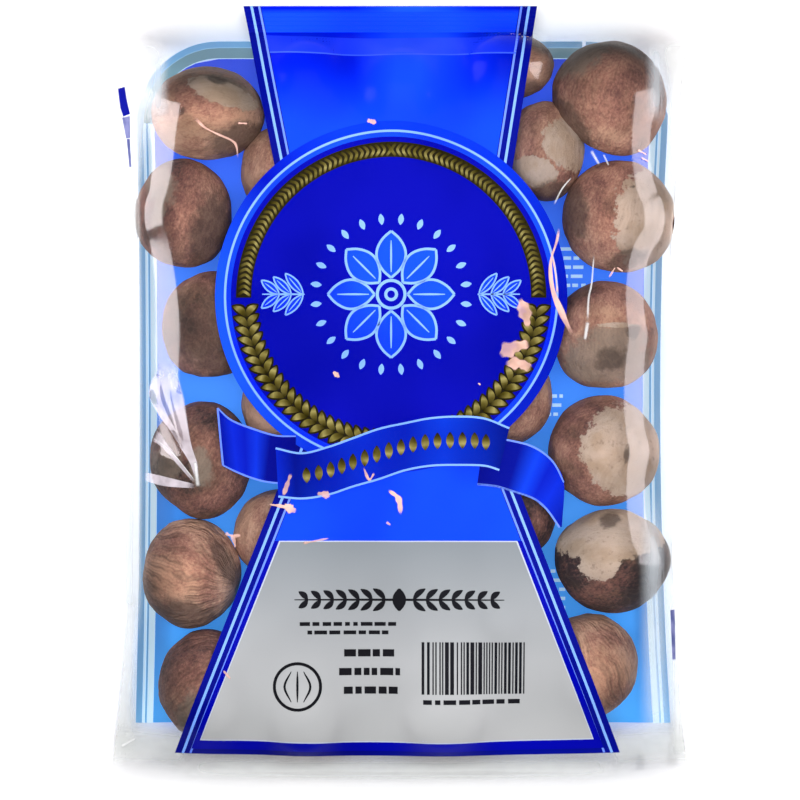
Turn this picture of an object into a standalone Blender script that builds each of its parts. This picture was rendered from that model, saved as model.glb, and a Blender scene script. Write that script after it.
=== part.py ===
"""Sealed clear bag of whole betel nuts, lying on its back with the printed front up.

The bag is one closed solid: film drawn tight over a single layer of nuts, sides
pinched in at the waist, a flat underside and a thin seal strip at each end.
Metres, +Z up. X runs across the bag and Y along it, towards the top seal. The
origin is on the surface that the bag lies on, under the middle of the bag.
"""

import math
import random
from dataclasses import dataclass

import bmesh
import bpy
import numpy as np

MM = 0.001

# Bag
BAG_LENGTH = 207 * MM
END_WIDTH = 154 * MM
WAIST_WIDTH = 142.6 * MM
WAIST_POWER = 3.0
SIDE_RIPPLE = 0.5 * MM
RIPPLES = (3.3, 5.1)
SEAL_DEPTH = 7 * MM
RIM_HEIGHT = 6.5 * MM
FILM_THICKNESS = 0.8 * MM
FLAT_DEPTH = 0.5 * MM
PRINT_LIFT = 0.4 * MM
SIDE_SWELL = 10.0
SWELL_FROM = 0.74
LONG_PULL = 0.74

# Grid over the film
COLUMNS = 44
BODY_ROWS = 56
SEAL_ROWS = 2
RELAX_STEPS = 900

# Nuts in the two side columns, and the ones between them that show or that fill a corner:
# middle across, middle along, half width, half length and, for one on edge, its half height,
# all in millimetres
LEFT_COLUMN = (
    (-50.4, 74.9, 15.2, 12.5),
    (-56.7, 48.4, 13.0, 14.8),
    (-49.3, 19.2, 13.3, 14.6),
    (-52.0, -15.7, 13.6, 15.7),
    (-54.6, -45.3, 13.2, 14.6),
    (-50.5, -74.6, 13.2, 14.8),
)
RIGHT_COLUMN = (
    (54.3, 77.9, 15.4, 16.2),
    (57.2, 47.6, 14.9, 15.3),
    (53.6, 16.6, 14.0, 14.7),
    (53.2, -13.5, 14.8, 14.9),
    (55.2, -42.0, 15.6, 13.8),
    (49.6, -69.6, 12.8, 14.3),
)
BETWEEN = (
    (28.4, 87.2, 12.0, 8.8, 11.6),
    (37.8, 65.0, 10.6, 13.4),
    (-30.2, 59.8, 11.8, 12.6),
    (-29.4, -0.6, 12.4, 13.2),
    (-32.0, -35.0, 11.8, 11.8),
    (-24.5, 83.2, 11.5, 11.5),
    (27.6, 1.5, 12.6, 13.6),
    (28.8, -29.5, 12.2, 13.0),
    (11.6, -79.4, 13.6, 13.0),
)
NUT_FLATNESS = 0.84
TALLEST_NUT = 12.3 * MM

# Nuts behind the print
HIDDEN_COLUMNS = (-26 * MM, 1 * MM, 28 * MM)
HIDDEN_PITCH = 29 * MM
HIDDEN_TOP = 79 * MM
HIDDEN_BOTTOM = -80 * MM
HIDDEN_HALF = (12.4 * MM, 13.8 * MM)
CLOSEST = 0.72
SPREAD_STEPS = 120
SPREAD_RATE = 0.2
NUT_SEED = 11

# Finish
FILM_COLOUR = (0.42, 0.36, 0.38, 1.0)
FILM_ROUGHNESS = 0.25


@dataclass
class Nut:
    """A betel nut: the middle of its footprint, its half sizes, and its half height if on edge."""

    x: float
    y: float
    half_width: float
    half_length: float
    on_edge: float = 0.0
    moves: bool = False

    @property
    def half_height(self):
        middle = 0.5 * (self.half_width + self.half_length)
        return self.on_edge or min(NUT_FLATNESS * middle, TALLEST_NUT)

    def dome(self, across, along):
        """Share of the half height that the nut reaches over each place, or -1 beside it."""
        far = ((across - self.x) / self.half_width) ** 2
        far = far + ((along - self.y) / self.half_length) ** 2
        return np.where(far < 1, np.sqrt(np.clip(1 - far, 0, 1)), -1.0)


def clear_scene():
    for item in list(bpy.data.objects):
        bpy.data.objects.remove(item, do_unlink=True)


def half_width_at(along, side):
    """Half width of the bag at a place along it; side is -1 on the left and 1 on the right."""
    share = min(abs(along) / (BAG_LENGTH / 2), 1.0)
    middle = WAIST_WIDTH / 2 + (END_WIDTH - WAIST_WIDTH) / 2 * share**WAIST_POWER
    phase = math.pi * along / (BAG_LENGTH / 2)
    ripple = math.sin(RIPPLES[0] * phase + side) + math.sin(RIPPLES[1] * phase - side)
    return middle + 0.5 * SIDE_RIPPLE * ripple * (1 - share**WAIST_POWER)


def placed_nuts():
    rows = LEFT_COLUMN + RIGHT_COLUMN + BETWEEN
    return [Nut(*(size * MM for size in row)) for row in rows]


def gap_between(first, second):
    """Distance between two middles as a share of the distance at which the nuts touch."""
    reach_x = first.half_width + second.half_width
    reach_y = first.half_length + second.half_length
    return math.hypot((first.x - second.x) / reach_x, (first.y - second.y) / reach_y)


def spread(nuts):
    """Moves the hidden nuts apart until none lies far into its neighbours."""
    for _ in range(SPREAD_STEPS):
        for nut in nuts:
            if not nut.moves:
                continue
            for other in nuts:
                if other is nut:
                    continue
                gap = gap_between(nut, other)
                if gap < 1:
                    push = SPREAD_RATE * (1 - gap)
                    nut.x += push * (nut.x - other.x)
                    nut.y += push * (nut.y - other.y)
            nut.y = min(max(nut.y, HIDDEN_BOTTOM), HIDDEN_TOP)


def all_nuts():
    """The placed nuts, and hidden ones in staggered columns wherever there is room."""
    draw = random.Random(NUT_SEED)
    nuts = placed_nuts()
    for column, middle in enumerate(HIDDEN_COLUMNS):
        along = HIDDEN_TOP - 0.5 * HIDDEN_PITCH * ((column + 1) % 2)
        while along > HIDDEN_BOTTOM - 0.3 * HIDDEN_PITCH:
            size = draw.uniform(*HIDDEN_HALF)
            length = size * draw.uniform(0.96, 1.06)
            nut = Nut(middle + draw.uniform(-1, 1) * MM, along, size, length, moves=True)
            if all(gap_between(nut, other) > CLOSEST for other in nuts):
                nuts.append(nut)
            along -= HIDDEN_PITCH
    spread(nuts)
    return nuts


def row_places():
    """Places along the bag for each row of the grid, with rows on both edges of each seal."""
    half = BAG_LENGTH / 2
    inner = half - SEAL_DEPTH
    seal = np.linspace(inner, half, SEAL_ROWS + 1)[1:]
    return np.concatenate([-seal[::-1], np.linspace(-inner, inner, BODY_ROWS + 1), seal])


def film_grid():
    """Places across and along the bag for each point of the grid."""
    along = row_places()
    share = np.linspace(-1, 1, COLUMNS + 1)
    left = np.array([half_width_at(place, -1) for place in along])
    right = np.array([half_width_at(place, 1) for place in along])
    reach = np.where(share[:, None] < 0, left[None, :], right[None, :])
    across = share[:, None] * reach
    return across, np.broadcast_to(along, across.shape)


def bulge():
    """How far free film rises over its neighbours, which it does at the sides of the bag."""
    share = np.abs(np.linspace(-1, 1, COLUMNS + 1))[1:-1, None]
    side = np.clip((share - SWELL_FROM) / (0.25 * (1 - SWELL_FROM)), 0, 1)
    spacing = (BAG_LENGTH - 2 * SEAL_DEPTH) / BODY_ROWS
    return SIDE_SWELL * side * spacing**2


def relax(obstacle, edge_height, body, rise):
    """Film drawn from its edge over an obstacle, in the rows that body picks out. It is pulled
    harder along the bag than across it."""
    film = np.full(obstacle.shape, edge_height)
    over = np.maximum(obstacle[:, body], edge_height)
    film[1:-1, body] = over[1:-1]
    first, last = body.start, body.stop
    for _ in range(RELAX_STEPS):
        beside = (film[:-2, first:last] + film[2:, first:last]) / 2
        along = (film[1:-1, first - 1 : last - 1] + film[1:-1, first + 1 : last + 1]) / 2
        free = beside + LONG_PULL * (along - beside) + rise
        film[1:-1, first:last] = np.maximum(obstacle[1:-1, first:last], free)
    return film


def film_heights(nuts, across, along):
    """Heights of the front and the back film over the grid."""
    front = np.full(across.shape, -1.0)
    under = np.full(across.shape, -1.0)
    for nut in nuts:
        dome = nut.dome(across, along)
        reached = dome >= 0
        front = np.where(reached, np.maximum(front, nut.half_height * (1 + dome)), front)
        under = np.where(reached, np.maximum(under, nut.half_height * (dome - 1)), under)
    body = slice(SEAL_ROWS + 1, SEAL_ROWS + BODY_ROWS)
    top = relax(front, RIM_HEIGHT + FILM_THICKNESS / 2, body, bulge())
    drop = relax(under, -(RIM_HEIGHT - FILM_THICKNESS / 2), body, 0.0)
    bottom = np.maximum(-drop - FLAT_DEPTH, 0.0)
    rim = np.ones(across.shape, bool)
    rim[1:-1, body] = False
    top[~rim] += PRINT_LIFT
    bottom[rim] = RIM_HEIGHT - FILM_THICKNESS / 2
    return top, bottom


def add_sheet(mesh, across, along, heights):
    """Adds a grid to the mesh with its points at the given places, and returns its faces."""
    columns, rows = across.shape
    made = bmesh.ops.create_grid(mesh, x_segments=columns - 1, y_segments=rows - 1, size=1)
    for point in made["verts"]:
        i = round((point.co.x + 1) / 2 * (columns - 1))
        j = round((point.co.y + 1) / 2 * (rows - 1))
        point.co = (across[i, j], along[i, j], heights[i, j])
    return {face for point in made["verts"] for face in point.link_faces}


def open_edges(faces):
    return [edge for face in faces for edge in face.edges if edge.is_boundary]


def flat_parts(faces):
    """Edges and points of the faces that lie on the table."""
    flat = [face for face in faces if all(abs(p.co.z) < 1e-7 for p in face.verts)]
    edges = {edge for face in flat for edge in face.edges}
    points = {point for face in flat for point in face.verts}
    return list(edges), list(points)


def bag_mesh():
    """The closed mesh of the bag: front film, back film and the thin rim that joins them."""
    across, along = film_grid()
    top, bottom = film_heights(all_nuts(), across, along)
    shape = bmesh.new()
    front = add_sheet(shape, across, along, top)
    back = add_sheet(shape, across, along, bottom)
    rim = list(dict.fromkeys(open_edges(front) + open_edges(back)))
    bmesh.ops.bridge_loops(shape, edges=rim)
    edges, points = flat_parts(back)
    bmesh.ops.dissolve_limit(shape, angle_limit=math.radians(0.5), edges=edges, verts=points)
    bmesh.ops.triangulate(shape, faces=shape.faces[:])
    bmesh.ops.recalc_face_normals(shape, faces=shape.faces[:])
    mesh = bpy.data.meshes.new("sealed_bag")
    shape.to_mesh(mesh)
    shape.free()
    mesh.shade_smooth()
    return mesh


def film_material():
    material = bpy.data.materials.new("clear_film")
    material.use_nodes = True
    shader = material.node_tree.nodes["Principled BSDF"]
    shader.inputs["Base Color"].default_value = FILM_COLOUR
    shader.inputs["Roughness"].default_value = FILM_ROUGHNESS
    shader.inputs["Metallic"].default_value = 0.0
    return material


def main():
    clear_scene()
    collection = bpy.data.collections.new("bag_of_betel_nuts")
    bpy.context.scene.collection.children.link(collection)
    bag = bpy.data.objects.new("sealed_bag", bag_mesh())
    bag.data.materials.append(film_material())
    collection.objects.link(bag)


main()
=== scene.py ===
"""Looks of a sealed clear bag of whole betel nuts: film, prints and the nuts inside.

The bag lies on its back. X runs across it, Y along it and Z out of its printed
front, in metres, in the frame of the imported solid.
"""

import logging
import math
import random
from collections.abc import Callable, Iterable, Sequence
from dataclasses import dataclass, field
from enum import Enum

import bmesh
import bpy
import numpy as np
from mathutils import Matrix, Vector, noise

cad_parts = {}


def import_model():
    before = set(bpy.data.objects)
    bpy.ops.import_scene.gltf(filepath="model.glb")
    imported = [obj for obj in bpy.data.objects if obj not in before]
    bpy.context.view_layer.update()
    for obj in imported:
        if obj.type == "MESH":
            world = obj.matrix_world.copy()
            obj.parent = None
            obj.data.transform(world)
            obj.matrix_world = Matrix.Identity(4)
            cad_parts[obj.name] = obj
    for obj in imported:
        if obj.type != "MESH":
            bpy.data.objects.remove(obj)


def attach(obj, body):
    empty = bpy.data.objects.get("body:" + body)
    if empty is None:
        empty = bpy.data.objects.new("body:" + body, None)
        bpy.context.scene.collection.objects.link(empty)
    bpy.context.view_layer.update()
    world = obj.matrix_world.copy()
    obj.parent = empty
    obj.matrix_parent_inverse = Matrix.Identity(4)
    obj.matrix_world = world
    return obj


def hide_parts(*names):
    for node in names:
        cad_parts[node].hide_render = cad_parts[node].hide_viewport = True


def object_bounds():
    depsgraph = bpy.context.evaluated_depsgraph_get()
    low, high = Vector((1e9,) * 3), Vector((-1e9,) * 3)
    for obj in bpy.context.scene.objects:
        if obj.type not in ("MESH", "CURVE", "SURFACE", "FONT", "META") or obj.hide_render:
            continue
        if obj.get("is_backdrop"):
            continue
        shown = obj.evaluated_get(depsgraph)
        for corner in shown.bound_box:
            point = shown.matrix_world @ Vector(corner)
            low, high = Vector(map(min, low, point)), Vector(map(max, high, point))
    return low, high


LOG = logging.getLogger("betel_nut_bag")

MM = 0.001
BAG_NODE = "sealed_bag"
BODY = "root"

Point = tuple[float, float]
Colour = tuple[float, float, float]
PlaceRule = Callable[[np.ndarray, np.ndarray], tuple[np.ndarray, np.ndarray]]


class Skin(Enum):
    """Overall tone of a nut's dry skin, from pale tan to dark brown."""

    TAN = 0.1
    ORANGE = 0.34
    RED = 0.58
    DARK = 0.84


class Shade(Enum):
    """Kinds of patch on a nut's skin, in the order of the colours that hold them."""

    PALE = 0
    GREY = 1
    DARK = 2


class Side(Enum):
    """Which film a print lies on."""

    FRONT = "front"
    BACK = "back"


@dataclass(frozen=True)
class Patch:
    """Pale, grey or dark oval on a nut, placed and sized in shares of the nut's half sizes. Most are marks of the skin;
    on a few nuts a dark one is painted shade and a grey one painted light.
    """

    shade: Shade
    at: Point
    half: Point
    turn: float = 0.0

    def depth(self, u: np.ndarray, v: np.ndarray) -> np.ndarray:
        """One at the middle of the patch and a half at its edge, over shares of the nut."""
        c, s = math.cos(math.radians(self.turn)), math.sin(math.radians(self.turn))
        across, along = u - self.at[0], v - self.at[1]
        far = np.hypot((across * c + along * s) / self.half[0], (along * c - across * s) / self.half[1])
        return np.clip(1 - 0.5 * far, 0, 1)


@dataclass(frozen=True)
class Look:
    """How one nut's skin looks: its tone, its ridges and the way they run, and its patches."""

    skin: Skin = Skin.RED
    ridges: float = 0.3
    pole: Point = (0.3, 1.0)
    patches: tuple[Patch, ...] = ()
    tone: float = 0.0
    warm: float = 0.0


@dataclass
class Nut:
    """One nut: its footprint in millimetres, its look, the way in which it narrows, and its own
    half height if it stands on edge."""

    x: float
    y: float
    half_width: float
    half_length: float
    look: Look = Look()
    egg: Point = (0.0, 0.0)
    on_edge: float = 0.0
    moves: bool = False

    @property
    def half_height(self) -> float:
        """Half of the nut's height, in millimetres."""
        return self.on_edge or min(0.84 * 0.5 * (self.half_width + self.half_length), 12.3)

    def gap(self, other: "Nut") -> float:
        """Distance to another nut as a share of the distance at which they touch."""
        across = (self.x - other.x) / (self.half_width + other.half_width)
        along = (self.y - other.y) / (self.half_length + other.half_length)
        return math.hypot(across, along)


@dataclass
class NutLayout:
    """Single layer of nuts: the ones that show, and hidden ones in staggered columns."""

    columns: tuple[float, ...] = (-26.0, 1.0, 28.0)
    pitch: float = 29.0
    top: float = 79.0
    bottom: float = -80.0
    half: tuple[float, float] = (12.4, 13.8)
    closest: float = 0.72
    steps: int = 120
    rate: float = 0.2
    seed: int = 11

    def shown(self) -> list[Nut]:
        """Nuts that can be seen beside the printed band.

        Returns:
            The nuts of the left column, the right column and between them.
        """
        tan, orange, red, dark = Skin.TAN, Skin.ORANGE, Skin.RED, Skin.DARK
        pale, grey, stain_and_painted_shade = Shade.PALE, Shade.GREY, Shade.DARK
        left = [
            # The large dark patch on this nut's lower right is painted shade.
            Nut(-50.4, 74.9, 15.2, 12.5, Look(tan, 0.2, (1.0, 0.3), (
                Patch(grey, (0.34, 0.44), (0.66, 0.3), -22), Patch(pale, (0.3, 0.38), (0.66, 0.24), -24),
                Patch(stain_and_painted_shade, (0.2, 0.66), (0.2, 0.09), -20), Patch(stain_and_painted_shade, (0.6, -0.62), (0.66, 0.4), 20),
                Patch(stain_and_painted_shade, (-0.4, 0.0), (0.1, 0.06), 60)), 0.02, -0.2)),
            Nut(-56.7, 48.4, 13.0, 14.8, Look(red, 0.25, (0.4, 1.0), (
                Patch(grey, (-0.42, 0.5), (0.3, 0.4), 30), Patch(grey, (-0.46, 0.0), (0.14, 0.34), -12),
                Patch(stain_and_painted_shade, (0.62, -0.4), (0.5, 0.9), -15)))),
            Nut(-49.3, 19.2, 13.3, 14.6, Look(orange, 0.15, (-0.2, 1.0), (
                Patch(stain_and_painted_shade, (0.1, -0.2), (1.1, 0.86), -20),), 0.2)),
            Nut(-52.0, -15.7, 13.6, 15.7, Look(dark, 0.35, (0.7, 1.0), (
                Patch(grey, (0.05, -0.1), (0.24, 0.34), 20), Patch(grey, (-0.6, -0.1), (0.3, 0.3))), -0.1)),
            Nut(-54.6, -45.3, 13.2, 14.6, Look(tan, 1.0, (1.0, -0.2), (
                Patch(stain_and_painted_shade, (0.72, 0.2), (0.2, 0.6), 30), Patch(stain_and_painted_shade, (-0.2, -0.85), (1.0, 0.44), 0)), 0.06, 0.2)),
            Nut(-50.5, -74.6, 13.2, 14.8, Look(red, 0.75, (0.9, 0.8), (
                Patch(grey, (-0.1, -0.5), (0.5, 0.5), 40), Patch(stain_and_painted_shade, (0.5, -0.1), (0.4, 0.9), -20)), 0.08)),
        ]
        right = [
            # On this nut the grey patch on its upper left is painted light, and the dark patch on its lower left is
            # painted shade.
            Nut(54.3, 77.9, 15.4, 16.2, Look(tan, 0.55, (0.25, 1.0), (
                Patch(grey, (-0.5, 0.75), (0.6, 0.3), 30),
                Patch(stain_and_painted_shade, (-0.75, -0.45), (0.3, 0.8), 30)), 0.22),
                (-0.55, -0.8)),
            Nut(57.2, 47.6, 14.9, 15.3, Look(red, 0.25, (0.1, 1.0), (
                Patch(pale, (0.66, -0.1), (0.8, 1.0), 0), Patch(stain_and_painted_shade, (0.1, -0.75), (0.4, 0.2), 20),
                Patch(stain_and_painted_shade, (-0.8, 0.1), (0.24, 0.6), 8), Patch(stain_and_painted_shade, (0.2, 0.5), (0.05, 0.04)),
                Patch(stain_and_painted_shade, (0.42, -0.3), (0.05, 0.04))), -0.2)),
            Nut(53.6, 16.6, 14.0, 14.7, Look(red, 0.3, (0.0, 1.0), (
                Patch(grey, (0.0, -0.45), (0.9, 0.5), 0), Patch(grey, (0.2, -0.02), (0.6, 0.24), 0),
                Patch(pale, (0.2, 0.2), (0.42, 0.05), 0),
                Patch(stain_and_painted_shade, (0.05, -0.42), (0.34, 0.24), 10), Patch(stain_and_painted_shade, (0.5, 0.08), (0.16, 0.16)),
                Patch(grey, (-0.5, -0.5), (0.3, 0.4), 20)), -0.16)),
            Nut(53.2, -13.5, 14.8, 14.9, Look(red, 0.2, (0.5, 1.0), (
                Patch(pale, (0.5, 0.02), (0.95, 0.84), 0), Patch(stain_and_painted_shade, (0.38, -0.02), (0.06, 0.2), -8)), -0.04)),
            Nut(55.2, -42.0, 15.6, 13.8, Look(red, 0.2, (1.0, 0.4), (
                Patch(pale, (0.0, 0.64), (1.15, 0.62), 7), Patch(pale, (-0.25, -0.02), (0.34, 0.36), 15),
                Patch(stain_and_painted_shade, (-0.05, 0.8), (0.2, 0.16), 35)), 0.36)),
            Nut(49.6, -69.6, 12.8, 14.3, Look(orange, 0.8, (-0.6, 1.0), (
                Patch(stain_and_painted_shade, (-0.3, -0.6), (0.4, 0.35)),), -0.22)),
        ]
        between = [
            # The dark patch along this nut's lower edge is painted shade where it meets the nut below.
            Nut(28.4, 87.2, 12.0, 8.8, Look(orange, 0.3, (1.0, 0.2), (
                Patch(stain_and_painted_shade, (0.2, -0.9), (1.0, 0.5)),), -0.34), on_edge=11.6),
            Nut(37.8, 65.0, 10.6, 13.4, Look(red, 0.2, (0.5, 1.0), (
                Patch(pale, (0.6, 0.1), (0.74, 0.5), -15), Patch(pale, (-0.3, -0.42), (0.6, 0.3), -8),
                Patch(stain_and_painted_shade, (0.1, -0.85), (0.6, 0.24), 10)), -0.3)),
            Nut(-30.2, 59.8, 11.8, 12.6, Look(tan, 0.4)),
            Nut(-29.4, -0.6, 12.4, 13.2, Look(orange, 0.3, tone=-0.4, warm=1.0)),
            Nut(-32.0, -35.0, 11.8, 11.8, Look(orange, 0.3, (0.2, 1.0), tone=-0.26, warm=1.2)),
            Nut(-24.5, 83.2, 11.5, 11.5, Look(red, 0.3)),
            Nut(27.6, 1.5, 12.6, 13.6, Look(tan, 0.3)),
            Nut(28.8, -29.5, 12.2, 13.0, Look(dark, 0.3)),
            Nut(11.6, -79.4, 13.6, 13.0, Look(dark, 0.4)),
        ]
        return left + right + between

    def all(self) -> list[Nut]:
        """Every nut in the bag, with the hidden ones moved apart until none overlap."""
        draw = random.Random(self.seed)
        nuts = self.shown()
        for column, middle in enumerate(self.columns):
            along = self.top - 0.5 * self.pitch * ((column + 1) % 2)
            while along > self.bottom - 0.3 * self.pitch:
                size = draw.uniform(*self.half)
                length = size * draw.uniform(0.96, 1.06)
                nut = Nut(middle + draw.uniform(-1, 1), along, size, length, moves=True)
                if all(nut.gap(other) > self.closest for other in nuts):
                    nuts.append(nut)
                along -= self.pitch
        self.spread(nuts)
        return nuts

    def spread(self, nuts: list[Nut]) -> None:
        """Moves the hidden nuts apart.

        Args:
            nuts: All nuts; those with moves set are shifted in place.
        """
        for _ in range(self.steps):
            for nut in (each for each in nuts if each.moves):
                for other in (each for each in nuts if each is not nut):
                    push = self.rate * max(0.0, 1 - nut.gap(other))
                    nut.x += push * (nut.x - other.x)
                    nut.y += push * (nut.y - other.y)
                nut.y = min(max(nut.y, self.bottom), self.top)


@dataclass(frozen=True)
class Crease:
    """A soft ridge in the front film, between two places in millimetres."""

    start: Point
    end: Point
    width: float
    height: float

    def rise(self, x: np.ndarray, y: np.ndarray) -> np.ndarray:
        """Height that the ridge adds over places in metres, in metres."""
        first, last = np.array(self.start) * MM, np.array(self.end) * MM
        run = last - first
        share = ((x - first[0]) * run[0] + (y - first[1]) * run[1]) / (run @ run)
        kept = np.clip(share, 0.0, 1.0)
        away = np.hypot(x - first[0] - kept * run[0], y - first[1] - kept * run[1])
        taper = np.sin(math.pi * np.clip(0.08 + 0.84 * kept, 0, 1))
        return self.height * MM * taper * np.exp(-((away / (self.width * MM)) ** 2))


@dataclass
class FilmForm:
    """The two films of the filled bag, as heights over a grid that follows the bag's sides."""

    length: float
    end_width: float
    nuts: list[Nut]
    waist_width: float = 142.6 * MM
    waist_power: float = 3.0
    side_ripple: float = 0.5 * MM
    ripples: tuple[float, float] = (3.3, 5.1)
    seal_depth: float = 7 * MM
    rim_height: float = 6.5 * MM
    gauge: float = 0.1 * MM
    flat_depth: float = 0.35 * MM
    swell: float = 10.0
    swell_from: float = 0.74
    pull: float = 0.74
    coarse: tuple[int, int] = (44, 56)
    level_steps: tuple[int, ...] = (900, 260, 160)
    mesh_columns: int = 300
    mesh_rows: int = 250
    seal_rows: int = 20
    rib_pitch: float = 1.15 * MM
    rib_height: float = 0.12 * MM
    creases: tuple[Crease, ...] = ()
    front: np.ndarray = field(init=False)
    back: np.ndarray = field(init=False)

    def __post_init__(self) -> None:
        """Settles both films over the nuts."""
        self.front = self.settle(1, self.rim_height + self.gauge / 2)
        down = self.settle(-1, -(self.rim_height - self.gauge / 2))
        self.back = np.maximum(-down - self.flat_depth, 0.2 * self.gauge)
        rim = np.ones(self.back.shape, bool)
        rim[1:-1, 1:-1] = False
        self.back[rim] = self.rim_height - self.gauge / 2

    @property
    def inner(self) -> float:
        """Distance from the middle of the bag to the inner edge of a seal."""
        return self.length / 2 - self.seal_depth

    def half_width(self, along: np.ndarray, side: int) -> np.ndarray:
        """Half width of the bag.

        Args:
            along: Places along the bag.
            side: -1 for the left half and 1 for the right half.

        Returns:
            The half width at each place.
        """
        share = np.minimum(np.abs(along) / (self.length / 2), 1.0)
        swell = share**self.waist_power
        middle = self.waist_width / 2 + (self.end_width - self.waist_width) / 2 * swell
        phase = math.pi * along / (self.length / 2)
        first, second = self.ripples
        ripple = np.sin(first * phase + side) + np.sin(second * phase - side)
        return middle + 0.5 * self.side_ripple * ripple * (1 - swell)

    def reach(self, share: np.ndarray, along: np.ndarray) -> np.ndarray:
        """Place across the bag of a signed share of its half width."""
        left, right = self.half_width(along, -1), self.half_width(along, 1)
        return share * np.where(share < 0, left, right)

    def fade(self, x: np.ndarray, y: np.ndarray) -> np.ndarray:
        """One over the body of the bag, falling to nought at its edge."""
        across = 1 - np.abs(x) / self.half_width(y, 1)
        along = 1 - np.abs(y) / self.inner
        return np.clip(across * 12, 0, 1) * np.clip(along * 16, 0, 1)

    def body_grid(self, shape: tuple[int, ...]) -> tuple[np.ndarray, np.ndarray]:
        """Places across and along the bag for a grid over its body."""
        share = np.linspace(-1, 1, shape[0])[:, None]
        along = np.linspace(-self.inner, self.inner, shape[1])[None, :]
        share, along = np.broadcast_arrays(share, along)
        return self.reach(share, along), along

    def obstacle(self, x: np.ndarray, y: np.ndarray, way: int) -> np.ndarray:
        """Height of the nuts' outer surface over places, or -1 where there is none.

        Args:
            x: Places across the bag.
            y: Places along the bag.
            way: 1 for the tops of the nuts, -1 for their undersides turned over.
        """
        highest = np.full(x.shape, -1.0)
        for nut in self.nuts:
            far = ((x - nut.x * MM) / (nut.half_width * MM)) ** 2
            far = far + ((y - nut.y * MM) / (nut.half_length * MM)) ** 2
            dome = np.sqrt(np.clip(1 - far, 0, 1))
            height = nut.half_height * MM * (dome + way)
            highest = np.where(far < 1, np.maximum(highest, height), highest)
        return highest

    def bulge(self, columns: int) -> np.ndarray:
        """How strongly free film swells at each place across the bag, which it does at the sides."""
        share = np.abs(np.linspace(-1, 1, columns + 1))[1:-1, None]
        return self.swell * np.clip((share - self.swell_from) / (0.25 * (1 - self.swell_from)), 0, 1)

    def settle(self, way: int, edge: float) -> np.ndarray:
        """Draws film from its edge over the nuts, on finer and finer grids.

        Args:
            way: 1 for the front film, -1 for the back film turned over.
            edge: Height of the bag's rim.

        Returns:
            The film's height over the finest grid.
        """
        columns, rows = self.coarse
        film = np.full((columns + 1, rows + 1), edge)
        for level, steps in enumerate(self.level_steps):
            if level:
                film = self.doubled(film)
            x, y = self.body_grid(film.shape)
            over = self.obstacle(x, y, way)
            step = 2 * self.inner / (film.shape[1] - 1)
            rise = self.bulge(film.shape[0] - 1) * step**2 if way > 0 else 0.0
            film[1:-1, 1:-1] = np.maximum(film, over)[1:-1, 1:-1]
            for _ in range(steps):
                beside = (film[:-2, 1:-1] + film[2:, 1:-1]) / 2
                along = (film[1:-1, :-2] + film[1:-1, 2:]) / 2
                free = beside + self.pull * (along - beside) + rise
                film[1:-1, 1:-1] = np.maximum(over[1:-1, 1:-1], free)
        return film

    @staticmethod
    def doubled(film: np.ndarray) -> np.ndarray:
        """The same heights on a grid with twice the divisions."""
        for axis in (0, 1):
            film = np.moveaxis(film, axis, 0)
            fine = np.empty((2 * film.shape[0] - 1, film.shape[1]))
            fine[::2] = film
            fine[1::2] = (film[1:] + film[:-1]) / 2
            film = np.moveaxis(fine, 0, axis)
        return film

    def height(self, sheet: Side, x: np.ndarray, y: np.ndarray) -> np.ndarray:
        """Height of a film over places, read between the points of its grid.

        Args:
            sheet: Which film.
            x: Places across the bag.
            y: Places along the bag.

        Returns:
            The film's height at each place.
        """
        grid = self.front if sheet is Side.FRONT else self.back
        along = np.clip(y, -self.inner, self.inner)
        half = np.where(x < 0, self.half_width(along, -1), self.half_width(along, 1))
        u = (np.clip(x / half, -1, 1) + 1) / 2 * (grid.shape[0] - 1)
        v = (along / self.inner + 1) / 2 * (grid.shape[1] - 1)
        i = np.clip(u.astype(int), 0, grid.shape[0] - 2)
        j = np.clip(v.astype(int), 0, grid.shape[1] - 2)
        a, b = u - i, v - j
        low = grid[i, j] * (1 - a) + grid[i + 1, j] * a
        high = grid[i, j + 1] * (1 - a) + grid[i + 1, j + 1] * a
        level = low * (1 - b) + high * b + self.ribs(y)
        if sheet is Side.BACK:
            return level
        return level + sum(crease.rise(x, y) for crease in self.creases) * self.fade(x, y)

    def ribs(self, y: np.ndarray) -> np.ndarray:
        """Crimped relief of the seals, level everywhere else."""
        depth = np.clip((np.abs(y) - self.inner) / MM, 0, 1)
        return self.rib_height * depth * np.sin(2 * math.pi * (np.abs(y) - self.inner) / self.rib_pitch)

    def rows(self) -> np.ndarray:
        """Places along the bag for each row of the film's mesh, finer in the seals."""
        body = np.linspace(-self.inner, self.inner, self.mesh_rows + 1)
        seal = np.linspace(self.inner, self.length / 2, self.seal_rows + 1)[1:]
        return np.concatenate([-seal[::-1], body, seal])


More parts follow.
